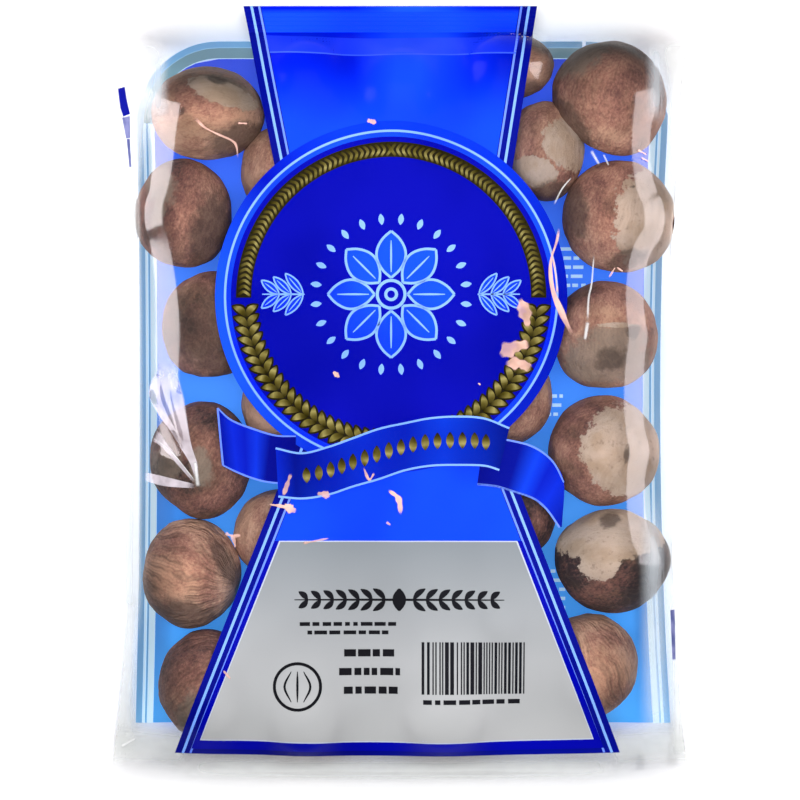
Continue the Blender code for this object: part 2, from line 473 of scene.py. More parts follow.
class Graph:
    """Adds nodes to a node tree and links them."""

    def __init__(self, tree: bpy.types.NodeTree) -> None:
        """Keeps the tree that the nodes go in."""
        self.tree = tree

    def add(self, kind: str, inputs: dict | None = None, **settings: object) -> bpy.types.Node:
        """Adds a node.

        Args:
            kind: The node's type name.
            inputs: Values or sockets by input name or number.
            **settings: The node's own properties.

        Returns:
            The new node.
        """
        node = self.tree.nodes.new(kind)
        for name, value in settings.items():
            setattr(node, name, value)
        for name, value in (inputs or {}).items():
            self.feed(node.inputs[name], value)
        return node

    def feed(self, socket: bpy.types.NodeSocket, value: object) -> None:
        """Links another node's output to a socket, or sets the socket's value."""
        if isinstance(value, bpy.types.NodeSocket):
            self.tree.links.new(value, socket)
        else:
            socket.default_value = value

    def math(self, operation: str, *values: object, clamp: bool = False) -> bpy.types.NodeSocket:
        """Output of a Math node over up to three values."""
        inputs = dict(enumerate(values))
        return self.add("ShaderNodeMath", inputs, operation=operation, use_clamp=clamp).outputs[0]

    def noise(self, place: object, scale: float, detail: float = 3.0, rough: float = 0.5):
        """Factor output of a Noise Texture at a place."""
        inputs = {"Vector": place, "Scale": scale, "Detail": detail, "Roughness": rough}
        return self.add("ShaderNodeTexNoise", inputs).outputs[0]

    def mix(self, share: object, first: object, second: object, blend: str = "MIX"):
        """Colour output of a Mix node."""
        node = self.add("ShaderNodeMix", data_type="RGBA", blend_type=blend)
        for index, value in ((0, share), (6, first), (7, second)):
            self.feed(node.inputs[index], value)
        return node.outputs[2]

    def spread(self, value: object, low: float, high: float, first: float = 0.0, last: float = 1.0):
        """Value moved smoothly from one range to another, and held inside it."""
        inputs = {0: value, 1: low, 2: high, 3: first, 4: last}
        return self.add("ShaderNodeMapRange", inputs, interpolation_type="SMOOTHSTEP").outputs[0]

    def ramp(self, share: object, stops: Sequence[tuple[float, Colour]]):
        """Colour output of a Color Ramp with the given stops."""
        node = self.add("ShaderNodeValToRGB", {0: share})
        elements = node.color_ramp.elements
        while len(elements) < len(stops):
            elements.new(0.5)
        for element, (position, colour) in zip(elements, stops, strict=True):
            element.position = position
            element.color = (*colour, 1.0)
        return node.outputs[0]


class Effects:
    """Shader node groups that several finishes share, each built once."""

    built: dict[str, bpy.types.NodeTree] = {}

    @classmethod
    def group(cls, name: str, inputs: Sequence[tuple[str, str, object]], outputs: Sequence[tuple[str, str]]):
        """Starts a group with its sockets.

        Args:
            name: The group's name.
            inputs: Name, socket type and default value of each input.
            outputs: Name and socket type of each output.

        Returns:
            The tree, a graph over it, its input node and its output node.
        """
        tree = bpy.data.node_groups.new(name, "ShaderNodeTree")
        for label, kind, value in inputs:
            socket = tree.interface.new_socket(label, in_out="INPUT", socket_type=kind)
            if value is not None:
                socket.default_value = value
        for label, kind in outputs:
            tree.interface.new_socket(label, in_out="OUTPUT", socket_type=kind)
        graph = Graph(tree)
        cls.built[name] = tree
        return tree, graph, graph.add("NodeGroupInput"), graph.add("NodeGroupOutput")

    @classmethod
    def crinkle(cls) -> bpy.types.NodeTree:
        """Height of the fine crinkles in thin film, which run along the bag."""
        if "film_crinkle" in cls.built:
            return cls.built["film_crinkle"]
        tree, g, start, end = cls.group(
            "film_crinkle",
            [("Place", "NodeSocketVector", None), ("Scale", "NodeSocketFloat", 90.0)],
            [("Height", "NodeSocketFloat")],
        )
        stretched = g.add("ShaderNodeMapping", {"Vector": start.outputs[0], "Scale": (1.0, 0.3, 1.0)})
        waves = g.add(
            "ShaderNodeTexNoise",
            {"Vector": stretched.outputs[0], "Scale": start.outputs[1], "Detail": 2.0},
        )
        g.feed(end.inputs[0], waves.outputs[0])
        return tree

    @classmethod
    def grain(cls) -> bpy.types.NodeTree:
        """Uneven tone and gloss of ink laid on film."""
        if "ink_grain" in cls.built:
            return cls.built["ink_grain"]
        tree, g, start, end = cls.group(
            "ink_grain",
            [
                ("Place", "NodeSocketVector", None),
                ("Patch Scale", "NodeSocketFloat", 28.0),
                ("Gloss", "NodeSocketFloat", 0.24),
            ],
            [("Tone", "NodeSocketFloat"), ("Roughness", "NodeSocketFloat")],
        )
        broad = g.add(
            "ShaderNodeTexNoise", {"Vector": start.outputs[0], "Scale": start.outputs[1], "Detail": 2.0}
        ).outputs[0]
        dots = g.noise(start.outputs[0], 2600.0, 1.0)
        tone = g.math("MULTIPLY_ADD", dots, 0.16, g.spread(broad, 0.3, 0.72))
        g.feed(end.inputs[0], g.math("SUBTRACT", tone, 0.08, clamp=True))
        g.feed(end.inputs[1], g.math("MULTIPLY_ADD", broad, 0.16, start.outputs[2]))
        return tree

    @classmethod
    def ridges(cls) -> bpy.types.NodeTree:
        """Fine ridges that run from pole to pole of a nut, and the veins that cross them."""
        if "nut_ridges" in cls.built:
            return cls.built["nut_ridges"]
        tree, g, start, end = cls.group(
            "nut_ridges",
            [
                ("Axes", "NodeSocketVector", None),
                ("Place", "NodeSocketVector", None),
                ("Strength", "NodeSocketFloat", 0.5),
            ],
            [(name, "NodeSocketFloat") for name in ("Lines", "Veins", "Spots", "Fibres")],
        )
        axes, place = start.outputs[0], start.outputs[1]
        bend = g.noise(place, 0.09, 2.0)
        split = g.add("ShaderNodeSeparateXYZ", {0: axes}).outputs
        turn = g.math("MULTIPLY_ADD", bend, 0.7, g.math("ARCTAN2", split[1], split[0]))
        coarse = g.math("SINE", g.math("MULTIPLY", turn, 26.0))
        fine = g.math("SINE", g.math("MULTIPLY_ADD", turn, 71.0, g.math("MULTIPLY", bend, 9.0)))
        wave = g.math("MULTIPLY_ADD", fine, 0.3, g.math("MULTIPLY_ADD", coarse, 0.35, 0.4))
        breaks = g.spread(g.noise(place, 0.16, 3.0), 0.34, 0.6)
        lines = g.math("MULTIPLY", g.math("MULTIPLY", wave, breaks), start.outputs[2], clamp=True)
        g.feed(end.inputs[0], lines)
        warp = g.add("ShaderNodeTexNoise", {"Vector": place, "Scale": 0.3, "Detail": 3.0}).outputs[1]
        moved = g.add(
            "ShaderNodeVectorMath", {0: warp, 1: (4.0, 4.0, 4.0), 2: place}, operation="MULTIPLY_ADD"
        ).outputs[0]
        cells = g.add(
            "ShaderNodeTexVoronoi", {"Vector": moved, "Scale": 0.3}, feature="DISTANCE_TO_EDGE"
        ).outputs["Distance"]
        g.feed(end.inputs[1], g.math("SUBTRACT", 1.0, g.spread(cells, 0.0, 0.12)))
        g.feed(end.inputs[2], g.spread(g.noise(place, 0.62, 4.0, 0.62), 0.56, 0.72))
        level = g.add("ShaderNodeVectorMath", {0: axes, 1: (1, 1, 0)}, operation="MULTIPLY").outputs[0]
        round_axis = g.add("ShaderNodeVectorMath", {0: level}, operation="NORMALIZE").outputs[0]
        wrapped = g.add("ShaderNodeVectorMath", {0: axes, 1: (0, 0, 1.6), 2: place}, operation="MULTIPLY_ADD")
        spread_out = g.add(
            "ShaderNodeVectorMath", {0: round_axis, 1: (7, 7, 7), 2: wrapped.outputs[0]}, operation="MULTIPLY_ADD"
        )
        g.feed(end.inputs[3], g.noise(spread_out.outputs[0], 1.0, 6.0, 0.7))
        return tree


@dataclass(frozen=True)
class InkFinish:
    """Ink printed on film: its colour, the deeper tone it varies to, and its gloss. Its glow is painted light: emission
    that lightens ink on the back film as if lit through it.
    """

    name: str
    colour: Colour
    deep: Colour
    gloss: float = 0.1
    sheen: float = 0.06
    glow: float = 0.0
    patch_scale: float = 28.0
    crinkle: float = 0.1
    run: tuple[tuple[float, Colour], ...] = ()
    run_axis: int = 0
    fade: tuple[float, float] | None = None

    def material(self) -> bpy.types.Material:
        """Builds the ink's material. Its run is a tint along (0) or across (1) each field, and its
        fade is where the run sets in the other way."""
        material = bpy.data.materials.new(self.name)
        material.use_nodes = True
        g = Graph(material.node_tree)
        shader = material.node_tree.nodes["Principled BSDF"]
        place = g.add("ShaderNodeTexCoord").outputs["Object"]
        grain = g.add("ShaderNodeGroup", node_tree=Effects.grain())
        for index, value in enumerate((place, self.patch_scale, self.gloss)):
            g.feed(grain.inputs[index], value)
        crinkle = g.add("ShaderNodeGroup", node_tree=Effects.crinkle())
        g.feed(crinkle.inputs[0], place)
        bump = g.add(
            "ShaderNodeBump",
            {"Height": crinkle.outputs[0], "Strength": self.crinkle, "Distance": 0.4 * MM},
        )
        base = g.mix(grain.outputs[0], (*self.deep, 1.0), (*self.colour, 1.0))
        if self.run:
            own = g.add("ShaderNodeUVMap", uv_map="UVMap").outputs[0]
            shares = g.add("ShaderNodeSeparateXYZ", {0: own}).outputs
            whole = g.spread(shares[1 - self.run_axis], *self.fade) if self.fade else 1.0
            base = g.mix(whole, base, g.ramp(shares[self.run_axis], self.run), "MULTIPLY")
        g.feed(shader.inputs["Base Color"], base)
        g.feed(shader.inputs["Roughness"], grain.outputs[1])
        g.feed(shader.inputs["Normal"], bump.outputs[0])
        shader.inputs["Specular IOR Level"].default_value = self.sheen
        # Emission from the glow is painted light, as if the ink were lit through the back film.
        g.feed(shader.inputs["Emission Color"], base)
        shader.inputs["Emission Strength"].default_value = self.glow
        return material


@dataclass(frozen=True)
class FilmFinish:
    """Clear film: what doesn't mirror the lights lets them straight through."""

    name: str
    mirror_index: float
    roughness: float = 0.1
    crinkle: float = 0.12
    tint: Colour = (1.0, 0.97, 0.97)

    def material(self) -> bpy.types.Material:
        """Builds the film's material."""
        material = bpy.data.materials.new(self.name)
        material.use_nodes = True
        g = Graph(material.node_tree)
        shader = material.node_tree.nodes["Principled BSDF"]
        place = g.add("ShaderNodeTexCoord").outputs["Object"]
        crinkle = g.add("ShaderNodeGroup", node_tree=Effects.crinkle())
        g.feed(crinkle.inputs[0], place)
        bump = g.add(
            "ShaderNodeBump",
            {"Height": crinkle.outputs[0], "Strength": self.crinkle, "Distance": 0.5 * MM},
        )
        g.feed(shader.inputs["Normal"], bump.outputs[0])
        g.feed(shader.inputs["Roughness"], g.math("MULTIPLY_ADD", crinkle.outputs[0], 0.06, self.roughness))
        shader.inputs["Base Color"].default_value = (*self.tint, 1.0)
        shader.inputs["Metallic"].default_value = 1.0
        share = g.add("ShaderNodeFresnel", {"IOR": self.mirror_index})
        clear = g.add("ShaderNodeBsdfTransparent")
        mixed = g.add(
            "ShaderNodeMixShader", {0: share.outputs[0], 1: clear.outputs[0], 2: shader.outputs[0]}
        )
        g.feed(material.node_tree.nodes["Material Output"].inputs["Surface"], mixed.outputs[0])
        return material


@dataclass(frozen=True)
class NutFinish:
    """Dry skin of the nuts: ridges, veins, spots and pale, grey and dark patches; on some nuts dark patches are painted
    shade.
    """

    name: str
    skin: tuple[tuple[float, Colour], ...]
    olive: Colour
    pale: Colour
    pale_warm: Colour
    grey: Colour
    stain_and_painted_shade: Colour
    vein: Colour
    groove: Colour

    def material(self) -> bpy.types.Material:
        """Builds the nuts' material, which reads the nuts' own attributes."""
        material = bpy.data.materials.new(self.name)
        material.use_nodes = True
        g = Graph(material.node_tree)
        shader = material.node_tree.nodes["Principled BSDF"]
        read = {
            name: g.add("ShaderNodeAttribute", attribute_name=name).outputs["Vector"]
            for name in ("nut_axes", "nut_place", "nut_traits", "nut_patches")
        }
        place = read["nut_place"]
        tone, ridge, hue = g.add("ShaderNodeSeparateXYZ", {0: read["nut_traits"]}).outputs
        patches = g.add("ShaderNodeSeparateXYZ", {0: read["nut_patches"]}).outputs
        marks = g.add("ShaderNodeGroup", node_tree=Effects.ridges())
        for index, value in enumerate((read["nut_axes"], place, ridge)):
            g.feed(marks.inputs[index], value)
        lines, veins, spots, fibres = marks.outputs
        mottle = g.noise(place, 0.13, 5.0, 0.62)
        streaks = g.math("SUBTRACT", fibres, 0.5)
        share = g.math("MULTIPLY_ADD", g.math("SUBTRACT", mottle, 0.5), 1.5, tone)
        share = g.math("MULTIPLY_ADD", streaks, 1.3, share, clamp=True)
        colour = g.ramp(share, self.skin)
        olive = g.math("MULTIPLY", g.spread(g.noise(place, 0.1, 3.0), 0.45, 0.7), hue, clamp=True)
        colour = g.mix(g.math("MULTIPLY", olive, 0.45), colour, (*self.olive, 1.0))
        rugged = g.noise(place, 0.42, 5.0, 0.68)
        soft = g.math("SUBTRACT", rugged, 0.5)
        bare = [g.math("MULTIPLY_ADD", soft, amount, patch) for amount, patch in zip((0.4, 0.7, 0.55), patches)]
        pale = g.mix(g.spread(g.noise(place, 0.12, 3.0), 0.4, 0.62), (*self.pale, 1.0), (*self.pale_warm, 1.0))
        colour = g.mix(g.math("MULTIPLY", g.spread(bare[1], 0.4, 0.66), 0.75), colour, (*self.grey, 1.0))
        pale_share = g.spread(bare[0], 0.49, 0.53)
        colour = g.mix(g.math("MULTIPLY", pale_share, 0.93), colour, pale)
        colour = g.mix(g.math("MULTIPLY", g.spread(bare[2], 0.42, 0.7), 0.72), colour, (*self.stain_and_painted_shade, 1.0))
        colour = g.mix(g.math("MULTIPLY", lines, 0.6), colour, (*self.groove, 1.0))
        colour = g.mix(g.math("MULTIPLY", veins, 0.06), colour, (*self.vein, 1.0))
        colour = g.mix(g.math("MULTIPLY", spots, 0.36), colour, (*self.groove, 1.0))
        g.feed(shader.inputs["Base Color"], colour)
        height = g.math("MULTIPLY_ADD", streaks, 0.8, g.noise(place, 0.9, 5.0, 0.62))
        height = g.math("MULTIPLY_ADD", lines, -0.7, height)
        height = g.math("MULTIPLY_ADD", veins, 0.08, height)
        height = g.math("MULTIPLY_ADD", pale_share, -0.3, height)
        bump = g.add("ShaderNodeBump", {"Height": height, "Strength": 0.7, "Distance": 0.45 * MM})
        g.feed(shader.inputs["Normal"], bump.outputs[0])
        g.feed(shader.inputs["Roughness"], g.math("MULTIPLY_ADD", mottle, 0.2, 0.55))
        shader.inputs["Specular IOR Level"].default_value = 0.3
        return material


@dataclass(frozen=True)
class PaintedLightFinish:
    """Painted light laid on the film: pale, glossy strips of painted glints, sheen and reflections, and strips that
    lighten shaded film, thinning out towards their sides.
    """

    name: str
    colour: Colour
    cover: float
    softness: float
    ends: float = 0.3
    broken: float = 0.5

    def material(self) -> bpy.types.Material:
        """Builds the painted light's material, which is densest along the middle of each strip."""
        material = bpy.data.materials.new(self.name)
        material.use_nodes = True
        g = Graph(material.node_tree)
        shader = material.node_tree.nodes["Principled BSDF"]
        place = g.add("ShaderNodeTexCoord").outputs["Object"]
        speckle = g.noise(place, 420.0, 3.0)
        deep = tuple((1 - 0.4 * self.broken) * c for c in self.colour)
        g.feed(shader.inputs["Base Color"], g.mix(speckle, (*self.colour, 1.0), (*deep, 1.0)))
        own = g.add("ShaderNodeUVMap", uv_map="UVMap").outputs[0]
        along, across, _ = g.add("ShaderNodeSeparateXYZ", {0: own}).outputs
        edge = g.math("SUBTRACT", 1.0, g.math("MULTIPLY", g.math("ABSOLUTE", g.math("SUBTRACT", across, 0.5)), 2.0))
        ends = g.math("SUBTRACT", 1.0, g.math("MULTIPLY", g.math("ABSOLUTE", g.math("SUBTRACT", along, 0.5)), 2.0))
        dense = g.math("MULTIPLY", g.spread(edge, 0.0, self.softness), g.spread(ends, 0.0, self.ends))
        patchy = g.spread(g.noise(place, 160.0, 3.0), 0.3, 0.7, 1 - self.broken, 1.0)
        g.feed(shader.inputs["Alpha"], g.math("MULTIPLY", g.math("MULTIPLY", dense, patchy), self.cover))
        shader.inputs["Roughness"].default_value = 0.25
        return material


@dataclass(frozen=True)
class FloorFinish:
    """White table that is lit a little from below."""

    name: str
    colour: Colour
    glow: float

    def material(self) -> bpy.types.Material:
        """Builds the floor's material."""
        material = bpy.data.materials.new(self.name)
        material.use_nodes = True
        g = Graph(material.node_tree)
        shader = material.node_tree.nodes["Principled BSDF"]
        place = g.add("ShaderNodeTexCoord").outputs["Object"]
        worn = g.noise(place, 9.0)
        deep = tuple(0.985 * c for c in self.colour)
        g.feed(shader.inputs["Base Color"], g.mix(worn, (*deep, 1.0), (*self.colour, 1.0)))
        shader.inputs["Roughness"].default_value = 0.9
        shader.inputs["Specular IOR Level"].default_value = 0.1
        shader.inputs["Emission Color"].default_value = (1.0, 1.0, 1.0, 1.0)
        shader.inputs["Emission Strength"].default_value = self.glow
        return material


def finished(mesh_name: str, shape: bmesh.types.BMesh, finish: bpy.types.Material) -> bpy.types.Object:
    """Makes a smooth-shaded object from a bmesh and frees the bmesh.

    Args:
        mesh_name: Name of the object and its mesh.
        shape: The shape, in the part's frame.
        finish: The material.

    Returns:
        The new object, at the origin.
    """
    mesh = bpy.data.meshes.new(mesh_name)
    shape.to_mesh(mesh)
    shape.free()
    mesh.materials.append(finish)
    mesh.shade_smooth()
    piece = bpy.data.objects.new(mesh_name, mesh)
    bpy.context.scene.collection.objects.link(piece)
    return piece


def smooth_path(points: Sequence[Point], count: int) -> np.ndarray:
    """Smooth curve through points.

    Args:
        points: Places that the curve passes through.
        count: Number of places on the curve.

    Returns:
        The curve's places, evenly shared between the given points.
    """
    known = np.array(points, float)
    if len(known) < 3:
        return np.linspace(known[0], known[-1], count)
    padded = np.vstack([2 * known[0] - known[1], known, 2 * known[-1] - known[-2]])
    at = np.linspace(0, len(known) - 1, count)
    index = np.clip(at.astype(int), 0, len(known) - 2)
    t = (at - index)[:, None]
    a, b, c, d = (padded[index + k] for k in range(4))
    return 0.5 * (2 * b + (c - a) * t + (2 * a - 5 * b + 4 * c - d) * t**2 + (3 * b - a - 3 * c + d) * t**3)


@dataclass(frozen=True)
class Field:
    """A field of print, in millimetres: how finely it is divided and where it lies."""

    columns: int
    rows: int
    place: PlaceRule
    arch: float = 0.0

    @staticmethod
    def bar(left: float, right: float, low: float, high: float) -> "Field":
        """Upright rectangle between two places across and two along the bag."""
        return Field.quad(((left, low), (right, low), (right, high), (left, high)))

    @staticmethod
    def quad(corners: Sequence[Point], step: float = 1.1, bow: float = 0.0) -> "Field":
        """Field with four corners.

        Args:
            corners: Bottom left, bottom right, top right and top left.
            step: Size of its divisions.
            bow: How far the middle of its lower edge hangs down.
        """
        a, b, c, d = (np.array(corner, float) for corner in corners)
        wide = max(np.linalg.norm(b - a), np.linalg.norm(c - d))
        high = max(np.linalg.norm(d - a), np.linalg.norm(c - b))

        def place(u: np.ndarray, v: np.ndarray) -> tuple[np.ndarray, np.ndarray]:
            """Place of each share across and up the field."""
            u3, v3 = u[:, None], v[:, None]
            at = (a * (1 - u3) + b * u3) * (1 - v3) + (d * (1 - u3) + c * u3) * v3
            return at[:, 0], at[:, 1] - bow * (1 - v) * 4 * u * (1 - u)

        return Field(max(1, math.ceil(wide / step)), max(1, math.ceil(high / step)), place)

    @staticmethod
    def ring(
        centre: Point, inner: float, outer: float, start: float = 0.0, end: float = 360.0, step: float = 1.1
    ) -> "Field":
        """Ring or part of a ring, between two angles in degrees."""
        first, last = math.radians(start), math.radians(end)

        def place(u: np.ndarray, v: np.ndarray) -> tuple[np.ndarray, np.ndarray]:
            """Place of each share round and out from the middle."""
            turn, out = first + (last - first) * u, inner + (outer - inner) * v
            return centre[0] + out * np.cos(turn), centre[1] + out * np.sin(turn)

        around = max(6, math.ceil(abs(last - first) * outer / step))
        return Field(around, max(1, math.ceil((outer - inner) / step)), place)

    @staticmethod
    def between(low: Sequence[Point], high: Sequence[Point], step: float = 1.1) -> "Field":
        """Field between two smooth curves through points."""
        length = sum(math.dist(a, b) for a, b in zip(low, low[1:], strict=False))
        depth = max(math.dist(low[0], high[0]), math.dist(low[-1], high[-1]))
        columns = max(4, math.ceil(length / step))
        lower, upper = smooth_path(low, columns + 1), smooth_path(high, columns + 1)

        def place(u: np.ndarray, v: np.ndarray) -> tuple[np.ndarray, np.ndarray]:
            """Place of each share along and between the curves."""
            at = np.rint(u * columns).astype(int)
            spot = lower[at] * (1 - v[:, None]) + upper[at] * v[:, None]
            return spot[:, 0], spot[:, 1]

        return Field(columns, max(1, math.ceil(depth / step)), place)

    @staticmethod
    def stroke(points: Sequence[Point], width: float, step: float = 0.9, taper: float = 0.0) -> "Field":
        """Line of ink along a smooth curve.

        Args:
            points: Places that the curve passes through.
            width: Width of the line.
            step: Size of its divisions.
            taper: Share of the width that is lost towards both ends.
        """
        length = sum(math.dist(a, b) for a, b in zip(points, points[1:], strict=False))
        columns = max(2, math.ceil(length / step))
        path = smooth_path(points, columns + 1)
        run = np.gradient(path, axis=0)
        run /= np.linalg.norm(run, axis=1, keepdims=True) + 1e-9

        def place(u: np.ndarray, v: np.ndarray) -> tuple[np.ndarray, np.ndarray]:
            """Place of each share along and across the line."""
            at = np.rint(u * columns).astype(int)
            half = width * (v - 0.5) * (1 - taper * (2 * u - 1) ** 2)
            return path[at, 0] - run[at, 1] * half, path[at, 1] + run[at, 0] * half

        return Field(columns, 1, place)

    @staticmethod
    def crease(
        points: Sequence[Point], start: float, end: float, arch: float = 0.12, ragged: float = 0.0
    ) -> "Field":
        """Arched strip along a smooth curve, from one width to another, with ragged sides."""
        flat = Field.stroke(points, 1.0, 0.3 if ragged else 0.9)
        phase = 1.7 * points[0][0] + points[0][1]
        length = sum(math.dist(a, b) for a, b in zip(points, points[1:], strict=False))
        slim = length / max(start, end)

        def place(u: np.ndarray, v: np.ndarray) -> tuple[np.ndarray, np.ndarray]:
            """Place of each share along and across the strip."""
            width = start + (end - start) * u
            if ragged:
                wave = 0.24 * np.sin(9 * u + phase) + 0.16 * np.sin(21 * u - phase)
                close = np.clip(0.3 + 1.5 * slim * np.minimum(u, 1 - u), 0, 1)
                width = width * (1 + ragged * wave) * close
            return flat.place(u, 0.5 + (v - 0.5) * width)

        return Field(flat.columns, max(4, math.ceil(max(start, end) / 1.1)), place, arch)

    @staticmethod
    def leaf(base: Point, tip: Point, width: float, bend: float = 0.0, parts: int = 6) -> "Field":
        """Leaf or lozenge from its base to its tip, bent to one side by a share of its length."""
        start, run = np.array(base, float), np.array(tip, float) - np.array(base, float)
        across = np.array([-run[1], run[0]]) / (np.linalg.norm(run) + 1e-9)

        def place(u: np.ndarray, v: np.ndarray) -> tuple[np.ndarray, np.ndarray]:
            """Place of each share along and across the leaf."""
            half = width * (v - 0.5) * np.sin(math.pi * np.clip(0.03 + 0.94 * u, 0, 1)) ** 0.8
            side = half + bend * np.linalg.norm(run) * np.sin(math.pi * u)
            spot = start + run * u[:, None] + across * side[:, None]
            return spot[:, 0], spot[:, 1]

        return Field(parts, 2, place)


@dataclass
class Printer:
    """Lays fields of ink on the settled films."""

    form: FilmForm
    made: list[bpy.types.Object] = field(default_factory=list)

    def lay(
        self,
        name: str,
        fields: Iterable[Field],
        finish: bpy.types.Material,
        slot: str,
        lift: float,
        side: Side = Side.FRONT,
    ) -> bpy.types.Object:
        """Makes one printed piece.

        Args:
            name: The piece's name.
            fields: Its fields of ink.
            finish: Its material.
            slot: Not used.
            lift: How far it lies over the film, in millimetres.
            side: Which film it lies on.

        Returns:
            The piece.
        """
        shape = bmesh.new()
        shape.loops.layers.uv.new("UVMap")
        for each in fields:
            self.add_field(shape, each, lift, side)
        bmesh.ops.remove_doubles(shape, verts=shape.verts[:], dist=2e-6)
        turned = [face for face in shape.faces if face.normal.z < 0]
        bmesh.ops.reverse_faces(shape, faces=turned)
        piece = finished(name, shape, finish)
        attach(piece, BODY)
        self.made.append(piece)
        LOG.info("%s: %d faces", name, len(piece.data.polygons))
        return piece

    def add_field(self, shape: bmesh.types.BMesh, each: Field, lift: float, side: Side) -> None:
        """Adds a grid to the shape and moves it onto the film.

        Args:
            shape: The bmesh that the grid goes in.
            each: The field.
            lift: How far it lies over the film, in millimetres.
            side: Which film it lies on.
        """
        grid = bmesh.ops.create_grid(
            shape, x_segments=each.columns, y_segments=each.rows, size=0.5, calc_uvs=True
        )["verts"]
        at = np.array([vertex.co[:2] for vertex in grid]) + 0.5
        x, y = each.place(at[:, 0], at[:, 1])
        x, y = x * MM, y * MM
        limit = np.where(x < 0, self.form.half_width(y, -1), self.form.half_width(y, 1)) - 0.3 * MM
        x = np.clip(x, -limit, limit)
        z = self.form.height(side, x, y) + (lift + each.arch * np.sin(math.pi * at[:, 1])) * MM
        for vertex, *place in zip(grid, x, y, z, strict=True):
            vertex.co = place
        for face in {face for vertex in grid for face in vertex.link_faces}:
            face.normal_update()


@dataclass
class FilmBag:
    """The bag itself: front film with the rim that joins it to the back film, and back film."""

    form: FilmForm

    def build(self) -> list[bpy.types.Object]:
        """Makes both films, which stand for the bag's solid."""
        front, back = bmesh.new(), bmesh.new()
        self.add_sheet(front, Side.FRONT, self.form.mesh_columns, self.form.rows())
        outer = [edge for edge in front.edges if edge.is_boundary]
        made = bmesh.ops.extrude_edge_only(front, edges=outer)["geom"]
        turned = [item for item in made if isinstance(item, bmesh.types.BMVert)]
        bmesh.ops.translate(front, verts=turned, vec=(0, 0, -self.form.gauge))
        coarse = self.form.rows()[::2]
        self.add_sheet(back, Side.BACK, self.form.mesh_columns // 2, coarse)
        pieces = []
        for name, shape, finish in (("front_film", front, FRONT_FILM), ("back_film", back, BACK_FILM)):
            bmesh.ops.recalc_face_normals(shape, faces=shape.faces[:])
            piece = finished(name, shape, finish.material())
            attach(piece, BODY)
            LOG.info("%s: %d faces", name, len(piece.data.polygons))
            pieces.append(piece)
        return pieces

    def add_sheet(self, shape: bmesh.types.BMesh, side: Side, columns: int, rows: np.ndarray) -> None:
        """Adds one film to the shape.

        Args:
            shape: The bmesh that the film goes in.
            side: Which film.
            columns: Divisions across it.
            rows: Places along it.
        """
        grid = bmesh.ops.create_grid(
            shape, x_segments=columns, y_segments=len(rows) - 1, size=0.5
        )["verts"]
        at = np.array([vertex.co[:2] for vertex in grid])
        y = rows[np.rint((at[:, 1] + 0.5) * (len(rows) - 1)).astype(int)]
        x = self.form.reach(np.round(at[:, 0] * 2, 6), y)
        z = self.form.height(side, x, y)
        sealed = (np.abs(y) >= self.form.inner - 1e-9) | (np.abs(at[:, 0]) > 0.4999)
        half_gauge = self.form.gauge / 2 * (1 if side is Side.FRONT else -1)
        z = np.where(sealed, self.form.rim_height + half_gauge + self.form.ribs(y), z)
        for vertex, *place in zip(grid, x, y, z, strict=True):
            vertex.co = place


